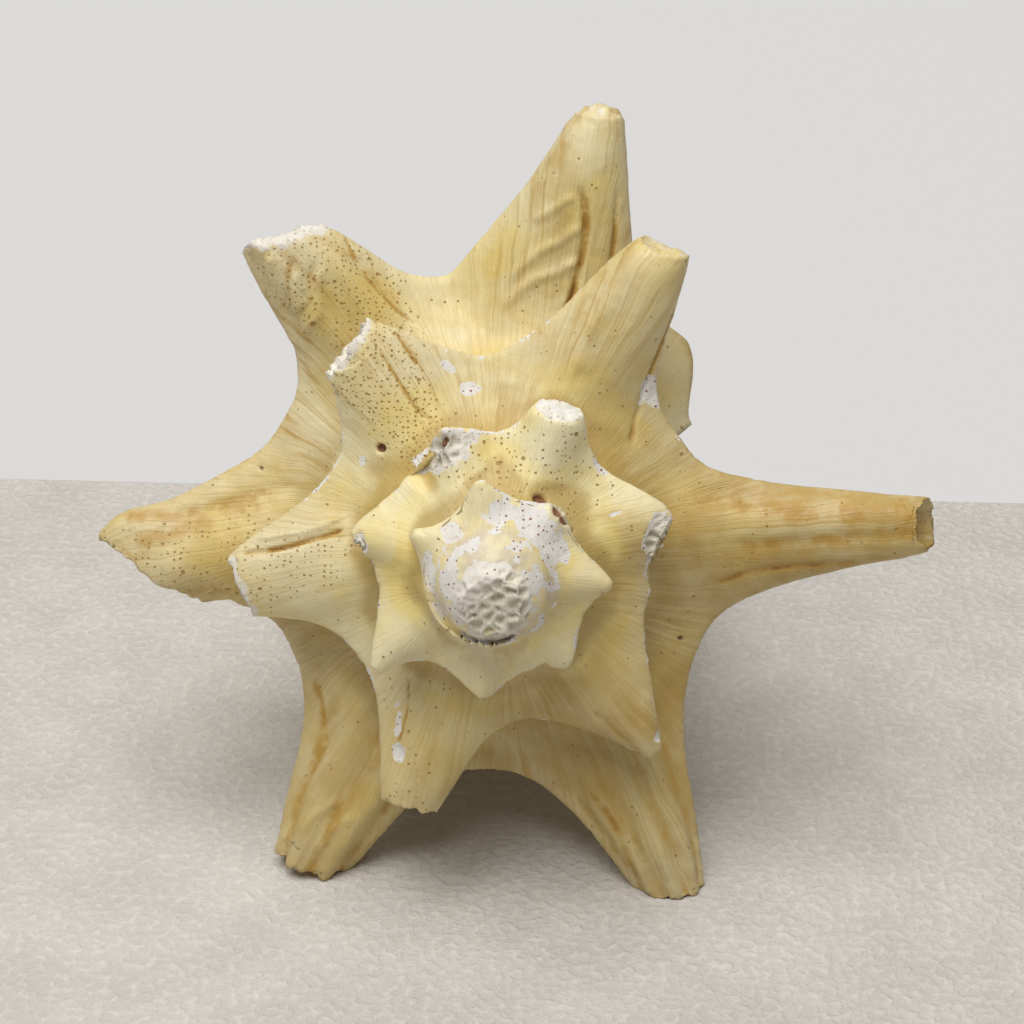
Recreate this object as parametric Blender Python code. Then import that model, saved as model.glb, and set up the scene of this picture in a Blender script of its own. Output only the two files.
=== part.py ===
import math

import bmesh
import bpy
import numpy as np
from mathutils import Vector
from mathutils.geometry import delaunay_2d_cdt

for old in list(bpy.data.objects):
    bpy.data.objects.remove(old, do_unlink=True)

# Driving dimensions, millimetres and degrees.
# The shell is described around its own axis: rho is the distance from the axis, w the depth
# behind the apex and grow the growth angle, which runs clockwise seen from the apex.
shellLength = 222.0
axisTilt = 19.5
apexHeight = 78.7
middleX = 1.65
middleY = 105.04
growStart = 57.0
growEnd = 1407.0
turn = 360.0
shoulderEnd = 53.6
whorlRatio = 1.249
ratioChange = -0.059
depthPerRadius = 1.1
depthShift = 4.3
attachInset = 0.05
attachDrop = 0.13
rampSag = 0.09
lipThickness = 3.6
lipFold = 0.19
lipFoldTurn = 17.0
columellaInset = 0.45
columellaTurn = 165.0
mouthTurn = 150.0
lipRound = 5.0
noseRadius = 2.6
domeRise = 7.4

# Points of the body profile below the shoulder: share of the depth, share of the shoulder radius.
bodyProfile = (
    (0.10, 0.935),
    (0.22, 0.865),
    (0.36, 0.745),
    (0.50, 0.60),
    (0.64, 0.44),
    (0.77, 0.30),
    (0.88, 0.22),
    (0.96, 0.187),
)

# Spines, oldest first: grow angle of the root, reach before and after it along the shoulder,
# grow angle, rho and depth of the tip, half width and half thickness of the tip,
# flare of the flank before and after, share of the ramp and of the side taken by the root,
# slope of the cut across the tip.
spines = (
    (209, 26, 26, 210, 17.2, 10.0, 1.0, 0.9, 2.0, 2.0, 0.9, 0.9, 0.0),
    (262, 26, 26, 261, 18.4, 11.2, 0.9, 0.8, 2.0, 2.0, 0.9, 0.9, 0.0),
    (312, 24, 22, 312, 17.6, 13.0, 1.4, 1.0, 2.0, 2.0, 0.9, 0.9, 0.0),
    (360, 25, 24, 363, 21.6, 13.8, 0.9, 0.8, 1.8, 1.8, 0.9, 0.9, 0.0),
    (408, 23, 23, 415, 21.0, 15.8, 1.6, 1.0, 1.6, 1.6, 0.9, 0.9, 0.0),
    (456, 24, 24, 454, 23.6, 17.2, 1.2, 1.0, 1.8, 1.8, 0.9, 0.9, 0.0),
    (506, 25, 26, 499, 29.3, 18.5, 1.3, 1.2, 2.0, 1.8, 0.95, 0.9, 0.0),
    (557, 25, 25, 549, 26.6, 20.6, 2.4, 1.5, 1.6, 1.8, 0.95, 0.9, 0.0),
    (605, 24, 24, 602, 25.4, 22.0, 5.0, 2.0, 1.4, 1.4, 0.95, 0.9, 0.0),
    (652, 23, 23, 650, 32.9, 22.6, 3.2, 2.4, 1.8, 1.8, 0.95, 0.9, 0.0),
    (705, 30, 30, 710, 31.4, 25.6, 4.8, 2.0, 1.5, 1.5, 0.95, 0.9, 0.0),
    (767, 32, 33, 770, 47.6, 28.0, 1.6, 1.5, 1.9, 1.7, 0.97, 0.92, 0.0),
    (833, 33, 33, 829, 52.4, 31.0, 4.8, 3.8, 2.4, 3.0, 0.97, 0.92, 0.0),
    (898, 32, 32, 892, 50.9, 34.0, 5.9, 3.8, 2.4, 2.2, 0.97, 0.92, 0.1),
    (957, 27, 28, 953, 49.6, 35.5, 6.2, 3.2, 1.8, 1.7, 0.97, 0.92, 0.1),
    (1014, 29, 29, 1017.2, 66.9, 37.5, 3.5, 2.8, 1.8, 2.4, 0.97, 0.92, -0.15),
    (1074, 27, 31, 1075, 84.0, 40.5, 4.5, 4.0, 3.2, 3.0, 0.97, 2.6, 0.0),
    (1138, 33, 34, 1143, 79.0, 44.4, 5.6, 4.4, 2.7, 2.4, 0.97, 2.8, 0.0),
    (1203, 31, 31, 1200, 77.6, 47.0, 6.2, 5.0, 2.8, 2.8, 0.97, 3.0, 0.0),
    (1263, 29, 29, 1253.6, 71.0, 49.0, 7.2, 4.8, 2.5, 3.4, 0.97, 3.0, 1.1),
    (1317, 25, 21, 1313, 74.2, 50.5, 5.6, 4.4, 2.0, 2.7, 0.97, 3.0, -0.52),
    (1366, 29, 24, 1361.4, 87.4, 52.0, 3.8, 3.8, 1.25, 4.4, 0.97, 3.0, 0.0),
)


def smooth(x):
    x = np.clip(x, 0.0, 1.0)
    return x * x * (3.0 - 2.0 * x)


def shoulderRadius(grow):
    t = (grow - 1400.0) / turn
    swell = 1.0 + 0.04 * np.exp(-(((grow - 1341.0) / 20.0) ** 2))
    return shoulderEnd * swell * np.exp(math.log(whorlRatio) * t + ratioChange * t * t)


def shoulderPoint(grow):
    # The shoulder sinks towards the older whorl just before the lip.
    radius = shoulderRadius(grow)
    fold = 1.0 - lipFold * smooth((grow - growEnd + lipFoldTurn) / lipFoldTurn)
    return np.stack([radius * fold, depthPerRadius * radius - depthShift], -1)


def attachPoint(grow):
    # Where the next whorl joins this one, just under the shoulder.
    start = shoulderPoint(np.full_like(grow, growStart))
    late = np.maximum(grow, growStart)
    opening = smooth((late - growStart) / 150.0)[:, None]
    radius = shoulderRadius(late)
    step = np.stack([-attachInset * radius, attachDrop * radius], -1)
    return np.where((grow <= growStart)[:, None], start, shoulderPoint(late) + opening * step)


knots = np.array([0.0, 0.33, 0.68, 1.0, 1.45, 2.0, 2.1, 2.22, 2.36, 2.5, 2.64, 2.77, 2.88, 2.96, 3.0])


def profilePoint(grow, s):
    # The half section of the whorl: s 0 at the suture, 1 on the shoulder, 2 where the next
    # whorl joins, 3 on the front tip of the shell.
    first = attachPoint(grow - turn)
    top = shoulderPoint(grow)
    join = attachPoint(grow)
    radius = shoulderRadius(grow)
    span = top - first
    inward = np.stack([-span[:, 1], span[:, 0]], -1)
    opening = smooth((grow - growStart) / 150.0)[:, None]
    slim = 1.0 - columellaInset * smooth((growEnd - turn + columellaTurn - grow) / columellaTurn)
    fold = top[:, 0] / radius
    rows = [
        first,
        first + 0.33 * span + 0.9 * rampSag * inward,
        first + 0.68 * span + 0.8 * rampSag * inward,
        top,
        top + 0.45 * (join - top) + opening * np.stack([0.012 * top[:, 0], 0.0 * top[:, 0]], -1),
        join,
    ]
    for share, width in bodyProfile:
        depth = top[:, 1] + share * (shellLength - top[:, 1])
        body = 1.0 + min(share / 0.2, 1.0) * (slim - 1.0)
        body *= 1.0 + (fold - 1.0) * (1.0 - 0.8 * float(smooth((share - 0.1) / 0.3)))
        rows.append(np.stack([width * radius * body, depth], -1))
    rows.append(np.stack([np.full(len(grow), noseRadius), np.full(len(grow), shellLength - 0.6)], -1))
    points = np.stack(rows)
    slopes = np.empty_like(points)
    slopes[1:-1] = (points[2:] - points[:-2]) / (knots[2:] - knots[:-2])[:, None, None]
    slopes[0] = (points[1] - points[0]) / (knots[1] - knots[0])
    slopes[-1] = (points[-1] - points[-2]) / (knots[-1] - knots[-2])
    cell = np.clip(np.searchsorted(knots, s, side="right") - 1, 0, len(knots) - 2)
    pick = np.arange(len(s))
    width = knots[cell + 1] - knots[cell]
    u = ((s - knots[cell]) / width)[:, None]
    a, b = points[cell, pick], points[cell + 1, pick]
    da, db = slopes[cell, pick] * width[:, None], slopes[cell + 1, pick] * width[:, None]
    return (
        a * (2 * u**3 - 3 * u**2 + 1)
        + b * (3 * u**2 - 2 * u**3)
        + da * (u**3 - 2 * u**2 + u)
        + db * (u**3 - u**2)
    )


def aroundAxis(grow, section):
    angle = np.radians(-grow)
    return np.stack([section[:, 0] * np.cos(angle), section[:, 0] * np.sin(angle), section[:, 1]], -1)


def sideShare(s):
    return np.where(s <= 2.0, s - 1.0, 1.0 + (s - 2.0) * 23.0)


def spineField(spine, grow, s):
    # Distance from the root centre, 1 on the rim of the root, and the angle around it.
    root, before, after = spine[0], spine[1], spine[2]
    along = np.where(grow < root, (grow - root) / before, (grow - root) / after)
    across = np.where(s < 1.0, (s - 1.0) / spine[10], sideShare(s) / spine[11])
    return np.hypot(along, across), np.arctan2(across, along)


def tipShare(spine):
    # Share of the root's width that is left at the tip.
    root = shoulderRadius(np.array([spine[0]]))[0]
    return float(np.clip(spine[6] / (math.radians(0.5 * (spine[1] + spine[2])) * root), 0.06, 0.5))


def spinePush(spine, grow, s, base):
    # Pulls the surface out to the tip of one spine.
    centre = aroundAxis(np.array([float(spine[0])]), shoulderPoint(np.array([float(spine[0])])))[0]
    tip = aroundAxis(np.array([float(spine[3])]), np.array([[spine[4], spine[5]]]))[0]
    reach = tip - centre
    length = np.linalg.norm(reach)
    ahead = reach / length
    angle = math.radians(-spine[0])
    along = np.array([math.sin(angle), -math.cos(angle), 0.0])
    along -= ahead * (along @ ahead)
    along /= np.linalg.norm(along)
    across = np.cross(along, ahead)
    across *= np.sign(across[2])
    q, turnAround = spineField(spine, grow, s)
    left = tipShare(spine)
    blend = smooth(0.5 + 0.5 * np.cos(turnAround))
    flare = spine[8] + (spine[9] - spine[8]) * blend
    rise = np.clip((1.0 - q) / (1.0 - left), 0.0, 1.0) ** flare
    offset = base - centre
    oldAlong, oldAcross, oldAhead = offset @ along, offset @ across, offset @ ahead
    newAlong = q / left * spine[6] * np.cos(turnAround)
    newAcross = q / left * spine[7] * np.sin(turnAround)
    mix = smooth(rise)
    climb = rise * length + oldAhead * (1.0 - mix) + spine[12] * mix**2 * newAlong
    moved = centre + np.outer(climb, ahead)
    moved += np.outer(oldAlong + mix * (newAlong - oldAlong), along)
    moved += np.outer(oldAcross + mix * (newAcross - oldAcross), across)
    return np.where((q < 1.0)[:, None], moved, base)


def outerPoint(grow, s):
    base = aroundAxis(grow, profilePoint(grow, s))
    for spine in spines:
        near = (grow > spine[0] - spine[1]) & (grow < spine[0] + spine[2])
        if near.any():
            base[near] = spinePush(spine, grow[near], s[near], base[near])
    return base


def domePoint(x, y):
    # The crusted first whorls, a rounded knob over the unit disc.
    ring = shoulderPoint(np.array([growStart]))[0]
    r2 = np.minimum(x * x + y * y, 1.0)
    lift = np.sqrt(1.0 - 0.93 * r2**1.1) - math.sqrt(0.07)
    return np.stack([ring[0] * x, ring[0] * y, ring[1] - domeRise * lift], -1)


def nosePoint(x, y):
    # The rounded front tip over the unit disc.
    r2 = np.minimum(x * x + y * y, 1.0)
    return np.stack([noseRadius * x, noseRadius * y, shellLength - 0.6 * r2], -1)


def mouthPoint(depth, r):
    # The inside of the last whorl. r 0 to 3 runs along its outer wall and 3 to 4 back along the
    # older whorl inside it, depth 0 is the lip and 1 the blind end.
    grow = growEnd - mouthTurn * depth
    enter = np.clip(depth * mouthTurn / lipRound, 0.0, 1.0)
    enter = np.sqrt(1.0 - (1.0 - enter) ** 2)
    wall = r <= 3.0
    t = np.where(wall, mouthShare(r), 4.0 - r)
    skip = 0.045 * enter
    inner = profilePoint(grow - turn, 2.0 + skip + (1.0 - skip * 2.2) * t)
    outer = profilePoint(grow, np.minimum(r, 3.0))
    gap = np.linalg.norm(outer - inner, axis=1)
    left = np.clip(1.0 - lipThickness / np.maximum(gap, 1e-6), 0.12, 1.0)
    window = np.sqrt(np.clip(np.minimum(t, 1.0 - t) / 0.06, 0.0, 1.0))
    close = np.sqrt(1.0 - 0.9 * depth**3)
    share = window**enter * (1.0 + enter * (left * close - 1.0))
    section = np.where(wall[:, None], inner + (outer - inner) * share[:, None], inner)
    return aroundAxis(grow, section)


def mouthShare(r):
    return np.where(r < 2.0, 0.05 * r, 0.1 + 0.9 * (r - 2.0))


def blindPoint(r, across):
    # The closed inner end of the mouth, from its outer wall over to the older whorl.
    deep = np.ones(len(r))
    outer, inner = mouthPoint(deep, r), mouthPoint(deep, 4.0 - mouthShare(r))
    return outer + (inner - outer) * across[:, None]


def toWorld(points):
    c, k = math.cos(math.radians(axisTilt)), math.sin(math.radians(axisTilt))
    x, up, w = points[:, 0], points[:, 1], points[:, 2]
    out = np.stack([x - middleX, w * c + up * k - middleY, up * c - w * k + apexHeight], -1)
    out[:, 2] = np.maximum(out[:, 2], 0.0)
    return out


def surfacePoint(patch, a, b):
    out = np.zeros((len(a), 3))
    makers = (outerPoint, domePoint, mouthPoint, nosePoint, blindPoint)
    for index, make in enumerate(makers):
        here = patch == index
        if here.any():
            out[here] = make(a[here], b[here])
    return toWorld(out)


def flatPosition(grow, s):
    # A flat map in which steps have about the same length as on the shell, over the radius.
    s = np.asarray(s, float)
    up = np.where(s < 1, 0.30 * s, np.where(s < 2, 0.30 + 0.15 * (s - 1), 0.45 + 3.0 * (s - 2)))
    return np.radians(grow), up


def outerMesh(step, rampRows, bodyRows, rings, sectors):
    # Points on a grid, rings of points round every spine, then triangles between them all.
    seen = {}
    coords = []
    edges = []

    def add(grow, s):
        key = (round(float(grow), 4), round(float(s), 5))
        if key not in seen:
            seen[key] = len(coords)
            coords.append(key)
        return seen[key]

    def chain(points):
        ids = [add(*p) for p in points]
        edges.extend(zip(ids[:-1], ids[1:]))

    grows = np.arange(growStart, growEnd + 1e-6, step)
    mouthGrow = growEnd - turn
    early = [g for g in grows[1:] if g <= mouthGrow + 1e-6]
    late = [g for g in grows if g >= mouthGrow - 1e-6]
    bodyOnly = [r for r in bodyRows if r > 2]
    chain([(growStart, 1.0)] + [(g, 0.0) for g in grows[1:]])
    chain([(growStart, 1.0)] + [(g, 2.0) for g in early])
    chain([(g, 3.0) for g in late])
    chain([(mouthGrow, s) for s in [2.0] + bodyOnly + [3.0]])
    chain([(growEnd, s) for s in list(rampRows) + [2.0] + bodyOnly + [3.0]])

    def insideSpine(grow, s):
        for spine in spines:
            q, _ = spineField(spine, np.array([grow]), np.array([s]))
            if q[0] < 1.06:
                return True
        return False

    for number, spine in enumerate(spines):
        left = tipShare(spine)
        flare = 0.5 * (spine[8] + spine[9])
        length = spine[4] - shoulderRadius(np.array([spine[0]]))[0]
        count = max(2, round(rings * min(1.0, 0.35 + length / 30.0)))
        round_ = max(8, int(sectors * min(1.0, 0.55 + length / 30.0)) // 2 * 2)
        levels = [1.0 - (1.0 - left) * (k / count) ** (1.0 / flare) for k in range(1, count + 1)]
        levels += [0.45 * left] if spine[6] > 2.2 else []
        for level in levels:
            loop = []
            for k in range(round_):
                angle = 2.0 * math.pi * k / round_
                u, v = level * math.cos(angle), level * math.sin(angle)
                grow = spine[0] + u * (spine[1] if u < 0 else spine[2])
                if v < 0:
                    s = 1.0 + v * spine[10]
                else:
                    side = v * spine[11]
                    s = 1.0 + side if side <= 1.0 else 2.0 + (side - 1.0) / 23.0
                loop.append((grow, s))
            chain(loop + loop[:1])
        add(spine[0], 1.0)
    for g in grows:
        for s in rampRows:
            if 0 < s < 2 and growStart < g < growEnd and not insideSpine(g, s):
                add(g, s)
        if mouthGrow < g < growEnd:
            for s in bodyRows:
                if not insideSpine(g, s):
                    add(g, s)
    chain(sorted(p for p in coords if p[1] == 1.0))
    table = np.array(coords)
    x, y = flatPosition(table[:, 0], table[:, 1])
    found = delaunay_2d_cdt([Vector(p) for p in zip(x, y)], edges, [], 0, 1e-7)
    if len(found[0]) != len(coords):
        raise RuntimeError("the flat map gained points")
    order = [source[0] for source in found[3]]
    faces = np.array([[order[i] for i in face] for face in found[2]])
    middle = table[faces].mean(1)
    keep = (middle[:, 1] < 2.0) | (middle[:, 0] > mouthGrow)
    first = middle[:, 0] < growStart + step
    keep &= ~first | (np.abs(middle[:, 1] - 1.0) < (middle[:, 0] - growStart) / step + 1e-9)
    return table[faces[keep]]


def discMesh(count, radii, turnAt):
    # Triangles over the unit disc, whose rim points stand at the given angles.
    ring = [turnAt + math.tau * k / count for k in range(count + 1)]
    tris = []
    for a0, a1 in zip(ring[:-1], ring[1:]):
        for r0, r1 in zip(radii[:-1], radii[1:]):
            p = [(r * math.cos(a), r * math.sin(a)) for r, a in ((r0, a0), (r0, a1), (r1, a1), (r1, a0))]
            if r0 > 0:
                tris.append([p[0], p[1], p[2]])
            tris.append([p[0], p[2], p[3]])
    return np.array(tris)


def mouthMesh(rampRows, bodyRows, depths):
    bodyOnly = [r for r in bodyRows if r > 2]
    outerRows = list(rampRows) + [2.0] + bodyOnly + [3.0]
    innerRows = [6.0 - s for s in [2.0] + bodyOnly + [3.0]][::-1]
    ring = outerRows + innerRows[1:]
    tris = []
    for d0, d1 in zip(depths[:-1], depths[1:]):
        for r0, r1 in zip(ring[:-1], ring[1:]):
            tris.append([(d0, r0), (d0, r1), (d1, r1)])
            tris.append([(d0, r0), (d1, r1), (d1, r0)])
    return np.array(tris)


def blindMesh(rampRows, bodyRows):
    # A strip of triangles between the two walls at the blind end.
    bodyOnly = [r for r in bodyRows if r > 2]
    a = list(rampRows) + [2.0] + bodyOnly + [3.0]
    shares = [s - 2.0 for s in [2.0] + bodyOnly + [3.0]]
    b = [t / 0.05 if t < 0.1 else 2.0 + (t - 0.1) / 0.9 for t in shares]
    tris = []
    i = j = 0
    while i < len(a) - 1 or j < len(b) - 1:
        if j == len(b) - 1 or (i < len(a) - 1 and a[i + 1] <= b[j + 1]):
            tris.append([(a[i], 0.0), (a[i + 1], 0.0), (b[j], 1.0)])
            i += 1
        else:
            tris.append([(a[i], 0.0), (b[j + 1], 1.0), (b[j], 1.0)])
            j += 1
    return np.array(tris)


def weld(points):
    # One number per place, so that patches share their border points.
    keys = np.round(points / 1e-4).astype(np.int64)
    _, first, back = np.unique(keys, axis=0, return_index=True, return_inverse=True)
    return points[first], back.ravel()


def refine(points, faces, corners, patch, target, rounds=24):
    # Splits the longest edges until none is longer than its target length.
    for _ in range(rounds):
        pairs = faces[:, [[0, 1], [1, 2], [2, 0]]]
        keys = np.sort(pairs.reshape(-1, 2), 1)
        code = keys[:, 0] * len(points) + keys[:, 1]
        _, first, back = np.unique(code, return_index=True, return_inverse=True)
        ends = keys[first]
        length = np.linalg.norm(points[ends[:, 0]] - points[ends[:, 1]], axis=1)
        middle = 0.5 * (points[ends[:, 0]] + points[ends[:, 1]])
        marked = length > target(middle, patch[first // 3])
        if not marked.any():
            break
        back = back.reshape(-1, 3)
        longest = np.argmax(length[back] + 1e-9 * (back % 97), axis=1)
        longEdge = back[np.arange(len(faces)), longest]
        while True:
            touched = marked[back].any(1)
            fresh = ~marked[longEdge[touched]]
            if not fresh.any():
                break
            marked[longEdge[touched]] = True
        number = np.full(len(marked), -1)
        number[marked] = len(points) + np.arange(marked.sum())
        owner, side = first[marked] // 3, first[marked] % 3
        middle = 0.5 * (corners[owner, side] + corners[owner, (side + 1) % 3])
        points = np.concatenate([points, surfacePoint(patch[owner], middle[:, 0], middle[:, 1])])
        roll = (longest[:, None] + np.arange(3)) % 3
        pick = np.arange(len(faces))[:, None]
        v, c, e = faces[pick, roll], corners[pick, roll], number[back[pick, roll]]
        whole = e[:, 0] < 0
        outF, outC, outP = [v[whole]], [c[whole]], [patch[whole]]
        mids = [0.5 * (c[:, k] + c[:, (k + 1) % 3]) for k in range(3)]

        def emit(rows, ids, places):
            outF.append(np.stack([x[rows] for x in ids], 1))
            outC.append(np.stack([x[rows] for x in places], 1))
            outP.append(patch[rows])

        cut = ~whole
        m, mc = e[:, 0], mids[0]
        plain = cut & (e[:, 2] < 0)
        emit(plain, (v[:, 0], m, v[:, 2]), (c[:, 0], mc, c[:, 2]))
        split = cut & (e[:, 2] >= 0)
        emit(split, (v[:, 0], m, e[:, 2]), (c[:, 0], mc, mids[2]))
        emit(split, (e[:, 2], m, v[:, 2]), (mids[2], mc, c[:, 2]))
        plain = cut & (e[:, 1] < 0)
        emit(plain, (m, v[:, 1], v[:, 2]), (mc, c[:, 1], c[:, 2]))
        split = cut & (e[:, 1] >= 0)
        emit(split, (m, v[:, 1], e[:, 1]), (mc, c[:, 1], mids[1]))
        emit(split, (m, e[:, 1], v[:, 2]), (mc, mids[1], c[:, 2]))
        faces, corners, patch = np.concatenate(outF), np.concatenate(outC), np.concatenate(outP)
        order = np.argsort(patch, kind="stable")
        faces, corners, patch = faces[order], corners[order], patch[order]
    return points, faces, corners, patch


def shellMesh(step, rampRows, bodyRows, rings, sectors, target):
    outer = outerMesh(step, rampRows, bodyRows, rings, sectors)
    count = int(round(turn / step))
    dome = discMesh(count, (0.0, 0.35, 0.7, 0.9, 1.0), math.radians(-growStart))
    mouth = mouthMesh(rampRows, bodyRows, (0.0, 0.012, 0.034, 0.1, 0.2, 0.32, 0.44, 0.56, 0.68, 0.8, 0.92, 1.0))
    nose = discMesh(count, (0.0, 1.0), math.radians(-growStart))
    meshes = (outer, dome, mouth, nose, blindMesh(rampRows, bodyRows))
    patch = np.concatenate([np.full(len(x), k) for k, x in enumerate(meshes)])
    corners = np.concatenate(meshes)
    flat = corners.reshape(-1, 2)
    points, back = weld(surfacePoint(np.repeat(patch, 3), flat[:, 0], flat[:, 1]))
    faces = back.reshape(-1, 3)
    good = (faces[:, 0] != faces[:, 1]) & (faces[:, 1] != faces[:, 2]) & (faces[:, 2] != faces[:, 0])
    return refine(points, faces[good], corners[good], patch[good], target)


def makeShell():
    def target(p, kind):
        near = np.hypot(p[:, 0] + middleX, p[:, 2] - apexHeight)
        behind = np.clip(p[:, 1] + middleY - 45.0, 0.0, None)
        size = np.clip(0.21 * near, 3.4, 9.5) + 0.06 * behind
        return np.where(kind == 2, 16.0, size)

    rampRows = (0.0, 0.35, 0.7, 1.0, 1.5)
    bodyRows = (2.0, 2.05, 2.12, 2.22, 2.34, 2.47, 2.6, 2.73, 2.85, 2.94)
    points, faces, corners, patch = shellMesh(15.0, rampRows, bodyRows, 7, 14, target)
    mesh = bpy.data.meshes.new("shell")
    mesh.from_pydata((points * 0.001).tolist(), [], faces.tolist())
    mesh.validate()
    shaped = bmesh.new()
    shaped.from_mesh(mesh)
    bmesh.ops.recalc_face_normals(shaped, faces=shaped.faces)
    if shaped.calc_volume(signed=True) < 0:
        bmesh.ops.reverse_faces(shaped, faces=shaped.faces)
    shaped.to_mesh(mesh)
    shaped.free()
    mesh.polygons.foreach_set("use_smooth", [True] * len(mesh.polygons))
    body = bpy.data.objects.new("shell", mesh)
    bpy.context.scene.collection.objects.link(body)
    surface = bpy.data.materials.new("shell lime")
    surface.use_nodes = True
    shader = surface.node_tree.nodes["Principled BSDF"]
    shader.inputs["Base Color"].default_value = (0.78, 0.66, 0.38, 1.0)
    shader.inputs["Roughness"].default_value = 0.6
    mesh.materials.append(surface)
    return body


shell = makeShell()
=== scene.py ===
import math

import bpy
import numpy as np
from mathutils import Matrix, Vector, kdtree, noise
from mathutils.geometry import delaunay_2d_cdt


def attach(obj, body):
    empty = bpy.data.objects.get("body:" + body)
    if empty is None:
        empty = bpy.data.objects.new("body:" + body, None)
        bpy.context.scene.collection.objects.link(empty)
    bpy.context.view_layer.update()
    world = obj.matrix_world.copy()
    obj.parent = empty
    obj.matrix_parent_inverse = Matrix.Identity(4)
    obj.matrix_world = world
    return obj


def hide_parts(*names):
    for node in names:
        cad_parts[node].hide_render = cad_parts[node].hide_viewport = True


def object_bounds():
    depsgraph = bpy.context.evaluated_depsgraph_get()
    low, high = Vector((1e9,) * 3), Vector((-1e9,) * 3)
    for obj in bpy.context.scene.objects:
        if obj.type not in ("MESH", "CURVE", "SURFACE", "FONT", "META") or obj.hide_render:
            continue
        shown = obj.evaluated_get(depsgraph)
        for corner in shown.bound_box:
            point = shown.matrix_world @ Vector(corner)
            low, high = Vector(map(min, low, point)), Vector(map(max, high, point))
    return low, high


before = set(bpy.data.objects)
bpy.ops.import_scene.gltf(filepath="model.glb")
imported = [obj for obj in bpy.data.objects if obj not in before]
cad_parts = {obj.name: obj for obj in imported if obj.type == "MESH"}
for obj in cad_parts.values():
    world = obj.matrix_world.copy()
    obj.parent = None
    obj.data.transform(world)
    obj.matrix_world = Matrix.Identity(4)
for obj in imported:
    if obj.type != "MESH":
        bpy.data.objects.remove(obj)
cadLow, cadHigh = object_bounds()
print("frame: loaded")

# The shell's form, in millimetres and degrees, the same as in the solid part.
# It is described around its own axis: rho is the distance from the axis, w the depth behind the
# apex and grow the growth angle, which runs clockwise seen from the apex.
shellForm = {
    "length": 222.0,
    "axisTilt": 19.5,
    "apexHeight": 78.7,
    "middleX": 1.65,
    "middleY": 105.04,
    "growStart": 57.0,
    "growEnd": 1407.0,
    "shoulderEnd": 53.6,
    "whorlRatio": 1.249,
    "ratioChange": -0.059,
    "depthPerRadius": 1.1,
    "depthShift": 4.3,
    "attachInset": 0.05,
    "attachDrop": 0.13,
    "rampSag": 0.09,
    "lipThickness": 3.6,
    "lipFold": 0.19,
    "lipFoldTurn": 17.0,
    "columellaInset": 0.45,
    "columellaTurn": 165.0,
    "mouthTurn": 150.0,
    "lipRound": 5.0,
    "noseRadius": 2.6,
    "noseRound": 0.6,
    "domeRise": 7.4,
    "openTurn": 150.0,
}
turn = 360.0
growStart, growEnd = shellForm["growStart"], shellForm["growEnd"]

# Points of the body profile below the shoulder: share of the depth, share of the shoulder radius.
bodyProfile = (
    (0.10, 0.935),
    (0.22, 0.865),
    (0.36, 0.745),
    (0.50, 0.60),
    (0.64, 0.44),
    (0.77, 0.30),
    (0.88, 0.22),
    (0.96, 0.187),
)

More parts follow.
